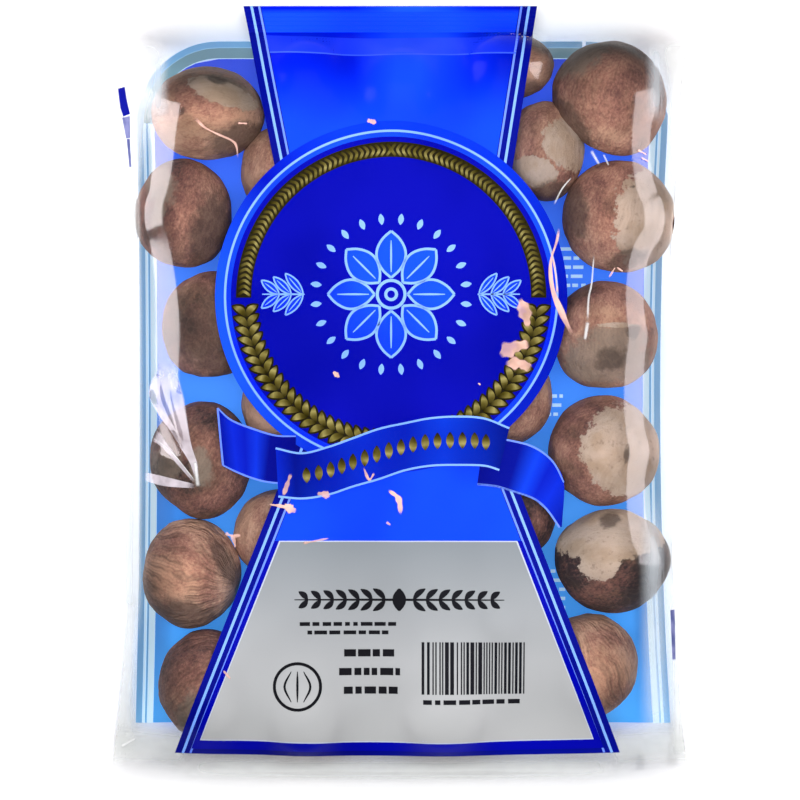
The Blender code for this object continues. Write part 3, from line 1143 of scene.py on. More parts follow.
@dataclass
class NutLot:
    """All the nuts as one piece, each with its own shape, tone and patches."""

    form: FilmForm
    nuts: list[Nut]
    clear_of_film: float = 0.22 * MM
    ridge_count: int = 26
    seed: int = 23

    def build(self) -> bpy.types.Object:
        """Makes the nuts."""
        shape = bmesh.new()
        layers = {
            name: shape.verts.layers.float_vector.new(name)
            for name in ("nut_axes", "nut_place", "nut_traits", "nut_patches")
        }
        draw = random.Random(self.seed)
        for nut in self.nuts:
            self.add_nut(shape, nut, draw, layers)
        piece = finished("betel_nuts", shape, NUT_SKIN.material())
        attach(piece, BODY)
        LOG.info("nuts: %d of them, %d faces", len(self.nuts), len(piece.data.polygons))
        return piece

    def add_nut(self, shape: bmesh.types.BMesh, nut: Nut, draw: random.Random, layers: dict) -> None:
        """Adds one nut to the shape.

        Args:
            shape: The bmesh that the nut goes in.
            nut: The nut.
            draw: Seeded random numbers.
            layers: Point layers for the place on the nut's axes, its skin and its patches.
        """
        detail = 4 if nut.moves else 5 + (nut.look.ridges > 0.5)
        ball = bmesh.ops.create_icosphere(shape, subdivisions=detail, radius=1.0)["verts"]
        pole = Vector((*nut.look.pole, draw.uniform(0.1, 0.4))).normalized()
        axes = pole.to_track_quat("Z", "X").inverted().to_matrix()
        offset = Vector([draw.uniform(-50, 50) for _ in range(3)])
        narrow = Vector((*nut.egg, 0.0))
        size = np.array((nut.half_width, nut.half_length, nut.half_height))
        ways = np.array([vertex.co.normalized() for vertex in ball])
        reach = np.empty(len(ball))
        for index, vertex in enumerate(ball):
            way = Vector(ways[index])
            own = axes @ way
            lumps = 0.05 * noise.noise(own * 1.3 + offset) + 0.02 * noise.noise(own * 3.7 + offset)
            turn = math.atan2(own.y, own.x) + 0.5 * noise.noise(own * 1.6 + offset)
            groove = nut.look.ridges * 0.011 * math.sin(self.ridge_count * turn) * (1 - own.z**4)
            dimple = 0.1 * math.exp(-(1 + own.z) / 0.09)
            egg = 0.2 * max(0.0, way.dot(narrow)) ** 2
            reach[index] = 0.985 + min(lumps, 0.012) + min(groove, 0.002) - dimple - egg
            vertex[layers["nut_axes"]] = own
            vertex[layers["nut_place"]] = own * float(size[:2].mean()) + offset
            tone = nut.look.skin.value + nut.look.tone + 0.3 * noise.noise(own * 1.1 + offset)
            hue = noise.noise(own * 0.8 - offset) + 0.5 - nut.look.warm
            vertex[layers["nut_traits"]] = (tone, nut.look.ridges, hue)
        self.stain_and_painted_shade(nut, ball, ways, layers["nut_patches"])
        place = ways * size * reach[:, None] + (nut.x, nut.y, nut.half_height)
        x, y, z = (place * MM).T
        z = np.minimum(z, self.form.height(Side.FRONT, x, y) - self.clear_of_film)
        z = np.maximum(z, self.form.height(Side.BACK, x, y) + self.clear_of_film)
        for vertex, *spot in zip(ball, x, y, z, strict=True):
            vertex.co = spot

    @staticmethod
    def stain_and_painted_shade(nut: Nut, ball: list, ways: np.ndarray, layer: object) -> None:
        """Stores how deep each point lies in each kind of patch.

        Args:
            nut: The nut.
            ball: Its points.
            ways: Directions from its middle to its points.
            layer: The point layer for the patches.
        """
        depths = np.zeros((len(ball), len(Shade)))
        for patch in nut.look.patches:
            depth = patch.depth(ways[:, 0], ways[:, 1]) * np.clip(1 + 2 * ways[:, 2], 0, 1)
            depths[:, patch.shade.value] = np.maximum(depths[:, patch.shade.value], depth)
        for vertex, depth in zip(ball, depths, strict=True):
            vertex[layer] = depth


FRONT_FILM = FilmFinish("front_clear_film", 1.85)
BACK_FILM = FilmFinish("back_clear_film", 1.3, roughness=0.16)

NUT_SKIN = NutFinish(
    "nut_skin",
    skin=(
        (0.0, (0.65, 0.4, 0.285)),
        (0.3, (0.445, 0.234, 0.176)),
        (0.6, (0.25, 0.119, 0.1)),
        (1.0, (0.05, 0.036, 0.04)),
    ),
    olive=(0.2, 0.14, 0.075),
    pale=(0.6, 0.49, 0.41),
    pale_warm=(0.5, 0.385, 0.29),
    grey=(0.32, 0.265, 0.215),
    stain_and_painted_shade=(0.075, 0.054, 0.047),
    vein=(0.55, 0.38, 0.28),
    groove=(0.1, 0.06, 0.045),
)

BRIGHT_BLUE = InkFinish("bright_blue_ink", (0.006, 0.075, 0.95), (0.001, 0.01, 0.62))
# Painted light: towards the top of each part of the band, the run paints a highlight in the middle and shade towards
# both sides.
BAND_BLUE_PAINTED_LIGHT = InkFinish(
    "band_blue_ink_painted_light",
    (0.005, 0.062, 0.94),
    (0.003, 0.04, 0.86),
    sheen=0.04,
    run=(
        (0.0, (0.1, 0.16, 0.7)), (0.34, (0.14, 0.2, 0.76)), (0.44, (0.8, 0.8, 1)), (0.52, (2.0, 1.4, 1.05)),
        (0.62, (2.2, 1.5, 1.05)), (0.72, (1.2, 1.0, 1)), (0.84, (0.2, 0.3, 0.76)), (1.0, (0.1, 0.14, 0.5)),
    ),
    fade=(0.7, 0.92),
)
DEEP_BLUE = InkFinish("deep_blue_ink", (0.001, 0.002, 0.38), (0.0, 0.001, 0.28), sheen=0.05)
EDGE_BLUE = InkFinish("edge_blue_ink", (0.001, 0.004, 0.26), (0.001, 0.002, 0.15))
RIM_BLUE = InkFinish(
    "rim_blue_ink",
    (0.018, 0.12, 0.78),
    (0.014, 0.1, 0.66),
    sheen=0.04,
    run=(
        (0.0, (0.02, 0.03, 0.45)), (0.2, (0.08, 0.3, 1)), (0.3, (0.08, 0.3, 1)), (0.38, (0.02, 0.04, 0.6)),
        (0.47, (0.4, 0.6, 1)), (0.58, (0.5, 0.7, 1)), (0.68, (0.1, 0.2, 0.8)), (1.0, (0.02, 0.03, 0.45)),
    ),
)
RIBBON_BLUE = InkFinish(
    "ribbon_blue_ink",
    (0.002, 0.045, 0.62),
    (0.001, 0.012, 0.42),
    sheen=0.04,
    run=(
        (0.0, (0.6, 0.6, 0.9)), (0.08, (0.2, 0.2, 0.42)), (0.2, (0.6, 0.6, 0.75)), (0.38, (1, 1, 1)),
        (0.55, (0.6, 0.6, 0.8)), (0.72, (1, 1, 1)), (0.88, (0.5, 0.5, 0.65)), (1.0, (0.15, 0.15, 0.35)),
    ),
)
RIBBON_TAIL = InkFinish(
    "ribbon_tail_ink",
    (0.003, 0.04, 0.72),
    (0.001, 0.012, 0.5),
    run=(
        (0.0, (0.06, 0.06, 0.3)), (0.3, (0.1, 0.1, 0.36)), (0.46, (1.1, 1.2, 1)), (0.6, (0.35, 0.35, 0.7)),
        (0.75, (0.7, 0.7, 0.9)), (1.0, (0.15, 0.15, 0.4)),
    ),
)
# Painted light: the run paints a highlight in the middle of the strip above the seam and shade towards its ends.
SHADED_BLUE = InkFinish(
    "shaded_blue_ink",
    (0.012, 0.042, 0.92),
    (0.008, 0.032, 0.84),
    sheen=0.04,
    run=(
        (0.0, (0.9, 0.9, 0.9)), (0.34, (0.9, 1, 1)), (0.56, (2.3, 2.1, 1.06)), (0.74, (1.9, 1.8, 1.05)),
        (0.86, (0.8, 0.9, 0.92)), (1.0, (0.5, 0.5, 0.7)),
    ),
)
SEAM_LINE = InkFinish("seam_line_ink", (0.05, 0.12, 0.95), (0.03, 0.09, 0.88), sheen=0.04)
PALE_LINE = InkFinish("pale_line_ink", (0.24, 0.45, 0.98), (0.16, 0.33, 0.9))
INNER_LINE = InkFinish("inner_line_ink", (0.16, 0.28, 0.95), (0.09, 0.18, 0.85))
PANEL_EDGE = InkFinish("panel_edge_ink", (0.52, 0.57, 0.7), (0.46, 0.51, 0.64))
SILVER = InkFinish(
    "silver_ink",
    (0.46, 0.465, 0.47),
    (0.4, 0.405, 0.41),
    gloss=0.3,
    sheen=0.3,
    crinkle=0.06,
    run=((0.0, (1, 1, 1)), (0.4, (0.88, 0.89, 0.91)), (1.0, (0.48, 0.53, 0.58))),
    run_axis=1,
)
GOLD = InkFinish(
    "gold_ink",
    (0.43, 0.355, 0.118),
    (0.185, 0.146, 0.024),
    patch_scale=300.0,
    run=((0.0, (0.12, 0.1, 0.05)), (0.3, (0.75, 0.78, 0.8)), (0.6, (0.3, 0.29, 0.2)), (1.0, (0.04, 0.04, 0.02))),
)
GOLD_DARK = InkFinish("gold_shadow_ink", (0.022, 0.017, 0.006), (0.01, 0.008, 0.004))
BLACK = InkFinish("black_ink", (0.012, 0.012, 0.016), (0.008, 0.008, 0.01))
# Painted light: the glow is emission that lights the back panel as if lit through the film, and the run is painted
# shade that deepens the blue towards the top of the panel.
SKY_PAINTED_LIGHT = InkFinish(
    "sky_blue_ink_painted_light",
    (0.08, 0.44, 1.0),
    (0.06, 0.38, 0.98),
    glow=0.5,
    patch_scale=14.0,
    run=((0.0, (1, 1, 1)), (0.4, (0.9, 0.75, 1)), (1.0, (0.55, 0.25, 1))),
    run_axis=1,
)
# Painted light on the back print: the glow of these inks is emission that lightens them as if lit through the film, and
# the pale border base stands in for lit film where shaded bare film would show between the border lines.
SKY_LINE_PAINTED_GLOW = InkFinish("sky_line_ink_painted_glow", (0.26, 0.6, 0.98), (0.2, 0.54, 0.95), glow=0.4)
BORDER_PAINTED_LIGHT = InkFinish("border_base_ink_painted_light", (0.6, 0.8, 0.92), (0.56, 0.77, 0.9), glow=0.75)
TEAL_PAINTED_GLOW = InkFinish("teal_ink_painted_glow", (0.3, 0.55, 0.66), (0.25, 0.5, 0.6), glow=0.3)
RULE_PAINTED_GLOW = InkFinish("rule_ink_painted_glow", (0.5, 0.72, 1.0), (0.42, 0.66, 0.95), glow=0.5)
SIDE_GREY = InkFinish("side_grey_ink", (0.16, 0.17, 0.34), (0.06, 0.07, 0.2), patch_scale=300.0)
# Painted light on the front film: glints on creases, sheen over fold strips, pale strips that lighten shaded margins,
# reflections of the side lamps, and white glints.
CREASE_PAINTED_GLINT = PaintedLightFinish("crease_painted_glint", (1.0, 0.6, 0.5), 0.95, 0.35)
FOLD_PAINTED_SHEEN = PaintedLightFinish("fold_painted_sheen", (0.86, 0.78, 0.86), 0.66, 0.16)
MARGIN_PAINTED_LIGHT = PaintedLightFinish("margin_painted_light", (0.66, 0.68, 0.67), 0.6, 0.85, 0.3, 0.1)
FILM_PAINTED_REFLECTION = PaintedLightFinish("film_painted_reflection", (0.66, 0.72, 0.77), 0.44, 1.0, 0.5, 0.15)
WHITE_PAINTED_GLINT = PaintedLightFinish("white_painted_glint", (0.98, 0.99, 1.0), 0.72, 0.9)


@dataclass
class Band:
    """Hourglass band of the front print, as the places of its corners from top to foot."""

    left: tuple[Point, ...]
    right: tuple[Point, ...]
    foot_bow: float = 0.9

    def inset(self, across: float, foot: float = 0.0) -> "Band":
        """The band made narrower by an amount on both sides, and shorter at its foot."""
        left = [(x + across, y) for x, y in self.left]
        right = [(x - across, y) for x, y in self.right]
        left[-1] = (self.slide(self.left, foot) + across, left[-1][1] + foot)
        right[-1] = (self.slide(self.right, foot) - across, right[-1][1] + foot)
        return Band(tuple(left), tuple(right), self.foot_bow)

    @staticmethod
    def slide(side: Sequence[Point], rise: float) -> float:
        """Place across of a side at some height over its foot."""
        (x0, y0), (x1, y1) = side[-1], side[-2]
        return x0 + (x1 - x0) * rise / (y1 - y0)

    def fields(self) -> Iterable[Field]:
        """Fields that fill the band, with fine divisions in the seal."""
        last = len(self.left) - 2
        for index in range(last + 1):
            corners = (self.left[index + 1], self.right[index + 1], self.right[index], self.left[index])
            step = 0.3 if index == 0 else 0.8
            yield Field.quad(corners, step, self.foot_bow if index == last else 0.0)

    def lines(self, across: float, width: float) -> Iterable[Field]:
        """Lines along both sides, some way inside them."""
        inner = self.inset(across)
        for side in (inner.left, inner.right):
            for index, (a, b) in enumerate(zip(side, side[1:], strict=False)):
                yield Field.stroke((b, a), width, 0.25 if index == 0 else 0.9)


@dataclass
class FrontPrint:
    """Printed front: band, medallion with its wreath, ribbon and silver panel."""

    printer: Printer
    length: float
    medallion: Point = (-2.3, 26.8)
    rim_radius: float = 45.6
    line_radius: float = 43.0
    rope: tuple[float, float] = (36.5, 39.9)
    wreath: tuple[float, float] = (34.8, 41.0)
    strip_top: tuple[Point, ...] = (
        (-32.2, -12.5), (-25.5, -13.8), (-18.7, -12.2), (-12.2, -9.9), (-5.5, -7.5),
        (1.3, -6.0), (8.1, -4.7), (15.1, -4.3), (21.8, -4.8), (28.3, -7.3),
    )
    strip_low: tuple[Point, ...] = (
        (-31.5, -25.0), (-25.0, -25.5), (-18.2, -24.4), (-12.2, -22.4), (-5.5, -20.5),
        (1.3, -18.2), (8.1, -17.0), (15.1, -16.8), (21.8, -17.0), (25.7, -18.1),
    )
    left_tail: tuple[tuple[Point, ...], ...] = (
        ((-27.0, -9.4), (-32.2, -9.2), (-38.0, -7.5), (-43.7, -5.2), (-47.2, -2.1)),
        ((-27.0, -21.8), (-33.8, -21.3), (-38.0, -20.3), (-42.1, -18.7), (-45.8, -16.9)),
    )
    right_tail: tuple[tuple[Point, ...], ...] = (
        ((21.8, -9.6), (28.1, -10.4), (34.6, -12.2), (39.5, -15.9), (42.4, -21.3), (41.9, -32.8)),
        ((20.0, -21.8), (25.2, -22.4), (30.2, -23.9), (34.6, -25.5), (38.0, -28.3), (41.3, -33.0)),
    )

    def build(self) -> None:
        """Lays every field of the front print, lowest first."""
        self.side_marks()
        self.band()
        self.panel()
        self.roundel()
        self.motif()
        self.ribbon()

    def lay(self, name: str, fields: Iterable[Field], ink: InkFinish, slot: str, lift: float) -> None:
        """Lays one piece of the front print in an ink of its own."""
        self.printer.lay(name, fields, ink.material(), slot, lift)

    def side_marks(self) -> None:
        """Plain slanted bars at the film's left and right edge."""
        dark = [Field.crease(((-73.4, 81.8), (-72.6, 78.0), (-71.6, 74.6)), 2.6, 2.0, 0.0)]
        self.lay("side_mark_dark", dark, EDGE_BLUE, "deep_blue_print", 0.05)
        pale = [
            Field.crease(((-71.8, 74.2), (-71.2, 68.6)), 2.2, 1.2, 0.0),
            Field.crease(((-71.2, 68.4), (-70.6, 61.0)), 0.9, 0.6, 0.0),
            Field.crease(((71.4, -55.0), (71.8, -68.0)), 1.3, 0.9, 0.0),
        ]
        self.lay("side_mark_pale", pale, SIDE_GREY, "pale_print", 0.05)

    def band(self) -> None:
        """Hourglass band with two pale lines inside each edge."""
        top, seal = self.length / MM / 2 - 0.1, self.printer.form.inner / MM
        band = Band(
            ((-41.1, top), (-39.7, seal), (-21.1, 3.8), (-58.9, -92.3)),
            ((36.0, top), (34.9, seal), (20.2, 3.8), (57.6, -92.3)),
        )
        self.lay("band_edge", band.fields(), EDGE_BLUE, "deep_blue_print", 0.05)
        # The band's field carries painted highlight and shade near its top.
        self.lay("band_field_painted_light", band.inset(4.6, 1.6).fields(), BAND_BLUE_PAINTED_LIGHT, "blue_print", 0.08)
        self.lay("band_line", band.lines(2.1, 0.68), PALE_LINE, "pale_print", 0.11)
        self.lay("band_inner_line", band.lines(4.1, 0.55), INNER_LINE, "pale_print", 0.11)
        seam = [(-34.0, 90.9), (-20.0, 90.3), (-4.0, 89.9), (12.0, 90.2), (30.0, 89.9)]
        upper = [(x * 1.04, y + 4.8) for x, y in seam]
        # The strip above the seam carries a painted highlight in its middle and painted shade at its ends.
        self.lay("band_shade", [Field.between(seam, upper, 0.8)], SHADED_BLUE, "blue_print", 0.1)
        self.lay("band_seam", [Field.stroke(seam, 0.36, 0.7)], SEAM_LINE, "blue_print", 0.12)

    def panel(self) -> None:
        """Silver panel with a thin pale edge, a plain ornament, rules and bars."""
        frame = ((-54.5, -91.0), (53.3, -91.0), (31.6, -36.5), (-32.5, -36.5))
        outer = ((-52.1, -88.6), (50.6, -88.6), (30.4, -36.5), (-31.3, -36.5))
        inner = ((-51.7, -88.3), (50.2, -88.3), (30.1, -36.8), (-31.0, -36.8))
        self.lay("panel_frame", [Field.quad(frame, 0.8, 0.9)], DEEP_BLUE, "deep_blue_print", 0.16)
        self.lay("panel_edge", [Field.quad(outer, 0.8, 0.9)], PANEL_EDGE, "pale_print", 0.19)
        self.lay("silver_panel", [Field.quad(inner, 0.8, 0.9)], SILVER, "silver_print", 0.25)
        self.lay("panel_marks", self.panel_marks(), BLACK, "black_print", 0.29)

    def panel_marks(self) -> Iterable[Field]:
        """Plain bars, rules and a leafy divider in place of the panel's words."""
        draw = random.Random(5)
        at, right, low, high = 5.6, 32.6, -76.4, -62.8
        while at < right:
            bar, gap = draw.choice((0.35, 0.35, 0.7, 1.0)), draw.choice((0.35, 0.4, 0.7))
            bar = min(bar, right - at)
            yield Field.bar(at, at + bar, low, high)
            at += bar + gap
        for start, end, level, height in (
            (-26.0, -1.0, -58.6, 1.0),
            (-24.0, -3.0, -60.8, 1.0),
            (-14.5, -1.5, -66.6, 1.9),
            (-15.8, 0.4, -71.5, 1.9),
            (-14.6, -0.6, -76.4, 1.9),
            (6.0, 32.2, -79.0, 1.2),
        ):
            yield from self.dashes(start, end, level, height, draw)
        yield from self.divider(-27.4, 27.0, -51.8)
        yield from self.nut_mark((-26.6, -74.4), 6.4)

    @staticmethod
    def dashes(start: float, end: float, level: float, height: float, draw: random.Random) -> Iterable[Field]:
        """Row of short dashes of uneven length."""
        at = start
        while at < end - 0.6:
            run = min(draw.uniform(1.1, 3.4), end - at)
            yield Field.bar(at, at + run, level, level + height)
            at += run + draw.uniform(0.5, 0.9)

    @staticmethod
    def divider(start: float, end: float, level: float) -> Iterable[Field]:
        """Stem with pairs of leaves that mirror about a lozenge in the middle."""
        middle = (start + end) / 2
        yield Field.stroke(((start, level), (end, level)), 0.6, taper=0.6)
        yield Field.leaf((middle, level - 2.9), (middle, level + 2.9), 3.6)
        for way in (-1, 1):
            for index in range(7):
                base = middle + way * (3.6 + index * 3.35)
                reach = 3.7 - 0.16 * index
                for up in (-1, 1):
                    tip = (base + way * reach * 0.86, level + up * reach * 0.78)
                    yield Field.leaf((base, level), tip, 1.55, bend=0.08 * up * way)

    @staticmethod
    def nut_mark(centre: Point, size: float) -> Iterable[Field]:
        """Outline of a nut with three ridges."""
        yield Field.ring(centre, size - 0.8, size, step=0.9)
        for lean in (-0.5, 0.0, 0.5):
            low = (centre[0] + lean * size * 0.5, centre[1] - size * 0.62)
            high = (centre[0] + lean * size * 0.5, centre[1] + size * 0.62)
            mid = (centre[0] + lean * size * 1.05, centre[1])
            yield Field.stroke((low, mid, high), 0.6, taper=0.7)

    def roundel(self) -> None:
        """Disc, rim, pale ring line and the gold wreath."""
        c, line = self.medallion, self.line_radius
        self.lay("medallion_rim", [Field.ring(c, line, self.rim_radius)], RIM_BLUE, "blue_print", 0.15)
        inside = Field.ring(c, line - 1.6, line)
        self.lay("medallion_inner_rim", [inside], BRIGHT_BLUE, "blue_print", 0.15)
        self.lay("medallion_disc", [Field.ring(c, 0.0, line - 1.5)], DEEP_BLUE, "deep_blue_print", 0.18)
        ring = Field.ring(c, line - 0.3, line + 0.3)
        self.lay("medallion_line", [ring], PALE_LINE, "pale_print", 0.21)
        under = [Field.ring(c, self.rope[0] - 0.3, self.rope[1] + 0.3, -0.5, 180.5)]
        under += self.wreath_leaves(2.9, 0.35)
        self.lay("wreath_shadow", under, GOLD_DARK, "black_print", 0.22)
        self.lay("wreath_rope", self.rope_marks(), GOLD, "gold_print", 0.25)
        self.lay("wreath_leaves", self.wreath_leaves(), GOLD, "gold_print", 0.27)

    def on_ring(self, angle: float, radius: float) -> Point:
        """Place at an angle in degrees and a distance from the medallion's middle."""
        turn = math.radians(angle)
        return (self.medallion[0] + radius * math.cos(turn), self.medallion[1] + radius * math.sin(turn))

    def rope_marks(self) -> Iterable[Field]:
        """Slats of the thin upper half of the wreath, each bent like an arrow towards its top."""
        count, inner, outer = 82, *self.rope
        middle = (inner + outer) / 2
        for index in range(count):
            angle = 180.0 * (index + 0.5) / count
            lean = 0.8 if angle < 90 else -0.8
            ends = [self.on_ring(angle - lean, radius) for radius in (inner, outer)]
            yield Field.stroke((ends[0], self.on_ring(angle + lean, middle), ends[1]), 0.72, 0.5, 0.25)

    def wreath_leaves(self, width: float = 1.75, grow: float = 0.0) -> Iterable[Field]:
        """Paired leaves of the fuller lower half of the wreath, which grow from its foot."""
        count, (inner, outer) = 22, self.wreath
        middle = (inner + outer) / 2
        for index in range(count):
            for side, angle in ((-1, 185.5 + 3.95 * index), (1, 354.5 - 3.95 * index)):
                for radius, bend in ((inner - grow, 0.12), (outer + grow, -0.12)):
                    base = self.on_ring(angle - side * 2.5, middle)
                    tip = self.on_ring(angle + side * (1.9 + grow), radius)
                    yield Field.leaf(tip, base, width, bend * side, parts=6)

    def motif(self) -> None:
        """Plain rosette of eight leaves, a ring of lozenges, and a spray to each side."""
        cx, cy = self.medallion[0], self.medallion[1] + 0.6
        fills, lines = [], []
        for index in range(8):
            turn = math.radians(45 * index)
            way = np.array((math.cos(turn), math.sin(turn)))
            base, tip = np.array((cx, cy)) + 4.3 * way, np.array((cx, cy)) + 16.4 * way
            fills.append(Field.leaf(base, tip, 7.6, parts=12))
            lines += self.leaf_outline(base, tip, 7.6, 0.65)
        lines.append(Field.ring((cx, cy), 3.2, 4.0, step=0.7))
        lines.append(Field.ring((cx, cy), 1.0, 1.8, step=0.6))
        for index in range(24):
            turn = math.radians(15 * index + 7.5)
            way = np.array((math.cos(turn), math.sin(turn)))
            spot = np.array((cx, cy))
            lines.append(Field.leaf(spot + 18.2 * way, spot + 21.0 * way, 1.5, parts=5))
        for way in (-1, 1):
            lines.append(Field.stroke(((cx + way * 22.4, cy), (cx + way * 33.4, cy)), 0.5, taper=0.5))
            for index in range(3):
                x = cx + way * (22.8 + 3.1 * index)
                for up in (-1, 1):
                    tip = (x + way * 4.6, cy + up * (5.4 - 0.9 * index))
                    fills.append(Field.leaf((x, cy), tip, 2.2, parts=8))
                    lines += self.leaf_outline((x, cy), tip, 2.2, 0.4)
        self.lay("motif_fill", fills, BRIGHT_BLUE, "blue_print", 0.22)
        self.lay("motif_lines", lines, PALE_LINE, "pale_print", 0.26)

    @staticmethod
    def leaf_outline(base: Point, tip: Point, width: float, line: float = 0.5) -> list[Field]:
        """Thin outline and midrib of a leaf."""
        start, run = np.array(base, float), np.array(tip, float) - np.array(base, float)
        across = np.array([-run[1], run[0]]) / np.linalg.norm(run)
        share = np.linspace(0, 1, 9)
        half = width / 2 * np.sin(math.pi * share) ** 0.8
        fields = [Field.stroke((start + 0.12 * run, start + 0.8 * run), line * 0.8, taper=0.6)]
        for side in (-1, 1):
            path = start + run * share[:, None] + side * across * half[:, None]
            fields.append(Field.stroke([tuple(point) for point in path], line, 0.6))
        return fields

    def ribbon(self) -> None:
        """Ribbon across the foot of the medallion, with a folded tail at each end."""
        tails = (self.left_tail, self.right_tail)
        fields = [Field.between(low, top) for top, low in tails]
        self.lay("ribbon_tails", fields, RIBBON_TAIL, "blue_print", 0.28)
        lines = [Field.stroke(edge[:5], 0.5, taper=0.3) for tail in tails for edge in tail]
        lines.append(Field.stroke(self.right_tail[1], 0.5))
        lines.append(Field.stroke((self.left_tail[0][-1], self.left_tail[1][-1]), 0.5))
        self.lay("ribbon_tail_lines", lines, INNER_LINE, "pale_print", 0.31)
        strip = Field.between(self.strip_low, self.strip_top)
        self.lay("ribbon_strip", [strip], RIBBON_BLUE, "blue_print", 0.34)
        lines = [Field.stroke(each, 0.52) for each in (self.strip_top, self.strip_low)]
        self.lay("ribbon_strip_lines", lines, PALE_LINE, "pale_print", 0.37)
        marks, upper, lower = [], smooth_path(self.strip_top, 40), smooth_path(self.strip_low, 40)
        for index in range(5, 36, 2):
            rise = upper[index] - lower[index]
            a, b = lower[index] + rise * 0.34, lower[index] + rise * 0.68
            marks.append(Field.leaf(tuple(a), tuple(b), 2.1, parts=5))
        self.lay("ribbon_marks", marks, GOLD, "gold_print", 0.38)


@dataclass
class FilmPaintedLight:
    """Painted light on the front film: pink glints on short creases, painted sheen on broad soft fold strips at its
    sides, white glints, pale strips that lighten its shaded margins, and painted reflections of the side lamps.
    """

    printer: Printer
    # Painted glints: pink-white strips on creases that stand for light caught by them.
    painted_glints: tuple[tuple[tuple[Point, ...], float, float], ...] = (
        (((-53.3, 73.3), (-50.7, 70.7), (-47.3, 68.9), (-43.7, 67.3), (-42.4, 65.8), (-42.0, 62.4)), 0.8, 0.5),
        (((-42.1, 71.8), (-39.5, 71.7)), 0.6, 0.4),
        (((-8.6, 72.6), (-6.0, 71.9)), 1.6, 1.2),
        (((31.0, 26.4), (32.4, 22.4), (33.2, 18.6)), 4.0, 2.4),
        (((25.8, 11.4), (29.4, 13.6), (33.6, 14.6)), 4.2, 3.4),
        (((27.2, 9.4), (31.0, 9.4), (34.0, 8.0)), 2.8, 3.6),
        (((20.2, 4.4), (20.9, 3.9)), 0.7, 0.5),
        (((41.2, 44.8), (40.6, 41.2), (39.0, 35.4), (39.6, 28.4), (42.2, 21.8), (44.8, 16.4)), 0.5, 1.8),
        (((39.0, 39.2), (40.2, 33.2), (40.8, 27.0)), 0.4, 0.5),
        (((54.0, 31.6), (55.7, 34.4)), 0.6, 0.4),
        (((56.0, 34.4), (57.7, 33.2)), 0.4, 0.6),
        (((-17.4, 7.4), (-15.6, 5.8)), 1.5, 1.0),
        (((-28.2, -19.0), (-29.2, -21.8), (-30.3, -25.0)), 1.0, 1.3),
        (((-30.0, -26.8), (-28.4, -28.2), (-26.8, -28.8)), 2.0, 2.6),
        (((-34.2, -27.0), (-31.4, -27.4), (-28.4, -28.0)), 0.5, 1.2),
        (((-21.6, -24.3), (-19.8, -24.4), (-18.0, -25.0)), 1.4, 2.2),
        (((-9.5, -17.4), (-8.0, -20.6), (-6.6, -18.8)), 0.8, 0.6),
        (((-3.1, -23.3), (-0.4, -25.6), (0.2, -29.8)), 1.3, 1.6),
        (((-3.6, -31.6), (-2.4, -32.4)), 0.9, 0.6),
        (((-25.4, -37.2), (-18.2, -35.8)), 0.7, 0.4),
        (((-45.4, -34.4), (-43.4, -35.2), (-41.0, -35.0)), 0.9, 0.8),
        (((-43.6, -34.8), (-43.0, -36.4), (-42.6, -38.4)), 1.5, 0.5),
        (((-45.8, -70.0), (-43.8, -72.4)), 0.9, 0.5),
        (((61.4, 64.8), (64.0, 63.6)), 0.6, 0.4),
        (((62.4, 62.8), (64.6, 61.8)), 0.5, 0.4),
    )
    # White painted glints on the film, standing for highlights.
    edges: tuple[tuple[tuple[Point, ...], float, float], ...] = (
        (((-64.7, -9.5), (-59.0, -13.6), (-52.6, -21.4)), 0.5, 0.4),
        (((-53.0, -15.6), (-52.2, -22.6)), 1.0, 1.6),
        (((-73.4, -91.0), (-68.9, -88.4)), 1.6, 0.8),
        (((44.5, 57.7), (41.9, 54.6), (39.8, 50.4)), 0.5, 0.7),
        (((50.2, 38.0), (49.6, 30.4), (48.8, 26.3), (48.5, 20.1)), 0.6, 0.9),
        (((48.6, 20.4), (47.8, 15.4)), 1.5, 1.1),
        (((49.4, 64.6), (51.6, 60.8)), 1.3, 0.9),
        (((52.6, 63.6), (54.0, 60.6)), 0.8, 0.6),
    )
    # Painted sheen: pale strips over fold ridges at the left side, standing for their reflections.
    fold_sheens: tuple[tuple[tuple[Point, ...], tuple[Point, ...]], ...] = (
        (
            ((-61.6, 11.2), (-65.8, 2.6), (-63.2, -3.6), (-59.3, -8.5), (-56.8, -12.5), (-54.3, -16.6), (-52.8, -21.3)),
            ((-59.0, 11.2), (-56.0, 1.6), (-55.1, -3.6), (-54.4, -8.5), (-53.6, -12.5), (-52.3, -16.6), (-52.1, -21.6)),
        ),
        (
            ((-64.6, -10.6), (-61.1, -13.0), (-53.0, -21.9)),
            ((-63.3, -7.4), (-59.8, -11.9), (-52.7, -21.3)),
        ),
        (
            ((-67.0, -21.0), (-61.3, -22.4), (-52.8, -22.9)),
            ((-67.0, -18.7), (-61.8, -19.6), (-52.6, -21.8)),
        ),
    )

    # Painted light: pale strips that lighten the film's margins where the bag's shade falls.
    margin_light_strips: tuple[tuple[tuple[Point, ...], float, float], ...] = (
        (((-79.0, -90.4), (-66.0, -90.6), (-55.0, -91.4)), 14.4, 14.4),
        (((79.0, -90.4), (66.0, -90.6), (54.0, -91.4)), 14.4, 14.4),
        (((-64.0, -96.2), (0.0, -97.0), (64.0, -96.2)), 7.6, 7.6),
        (((-72.6, -96.0), (-72.0, -76.0), (-70.6, -48.0)), 9.0, 5.0),
        (((73.6, -96.0), (73.2, -76.0), (71.9, -48.0)), 7.0, 4.0),
        (((-69.3, -66.0), (-69.0, 0.0), (-69.6, 70.0)), 4.6, 4.6),
        (((-71.0, 46.0), (-70.0, 72.0), (-66.6, 97.0)), 5.0, 21.0),
        (((72.8, 50.0), (72.8, 74.0), (72.0, 97.0)), 2.6, 13.0),
    )
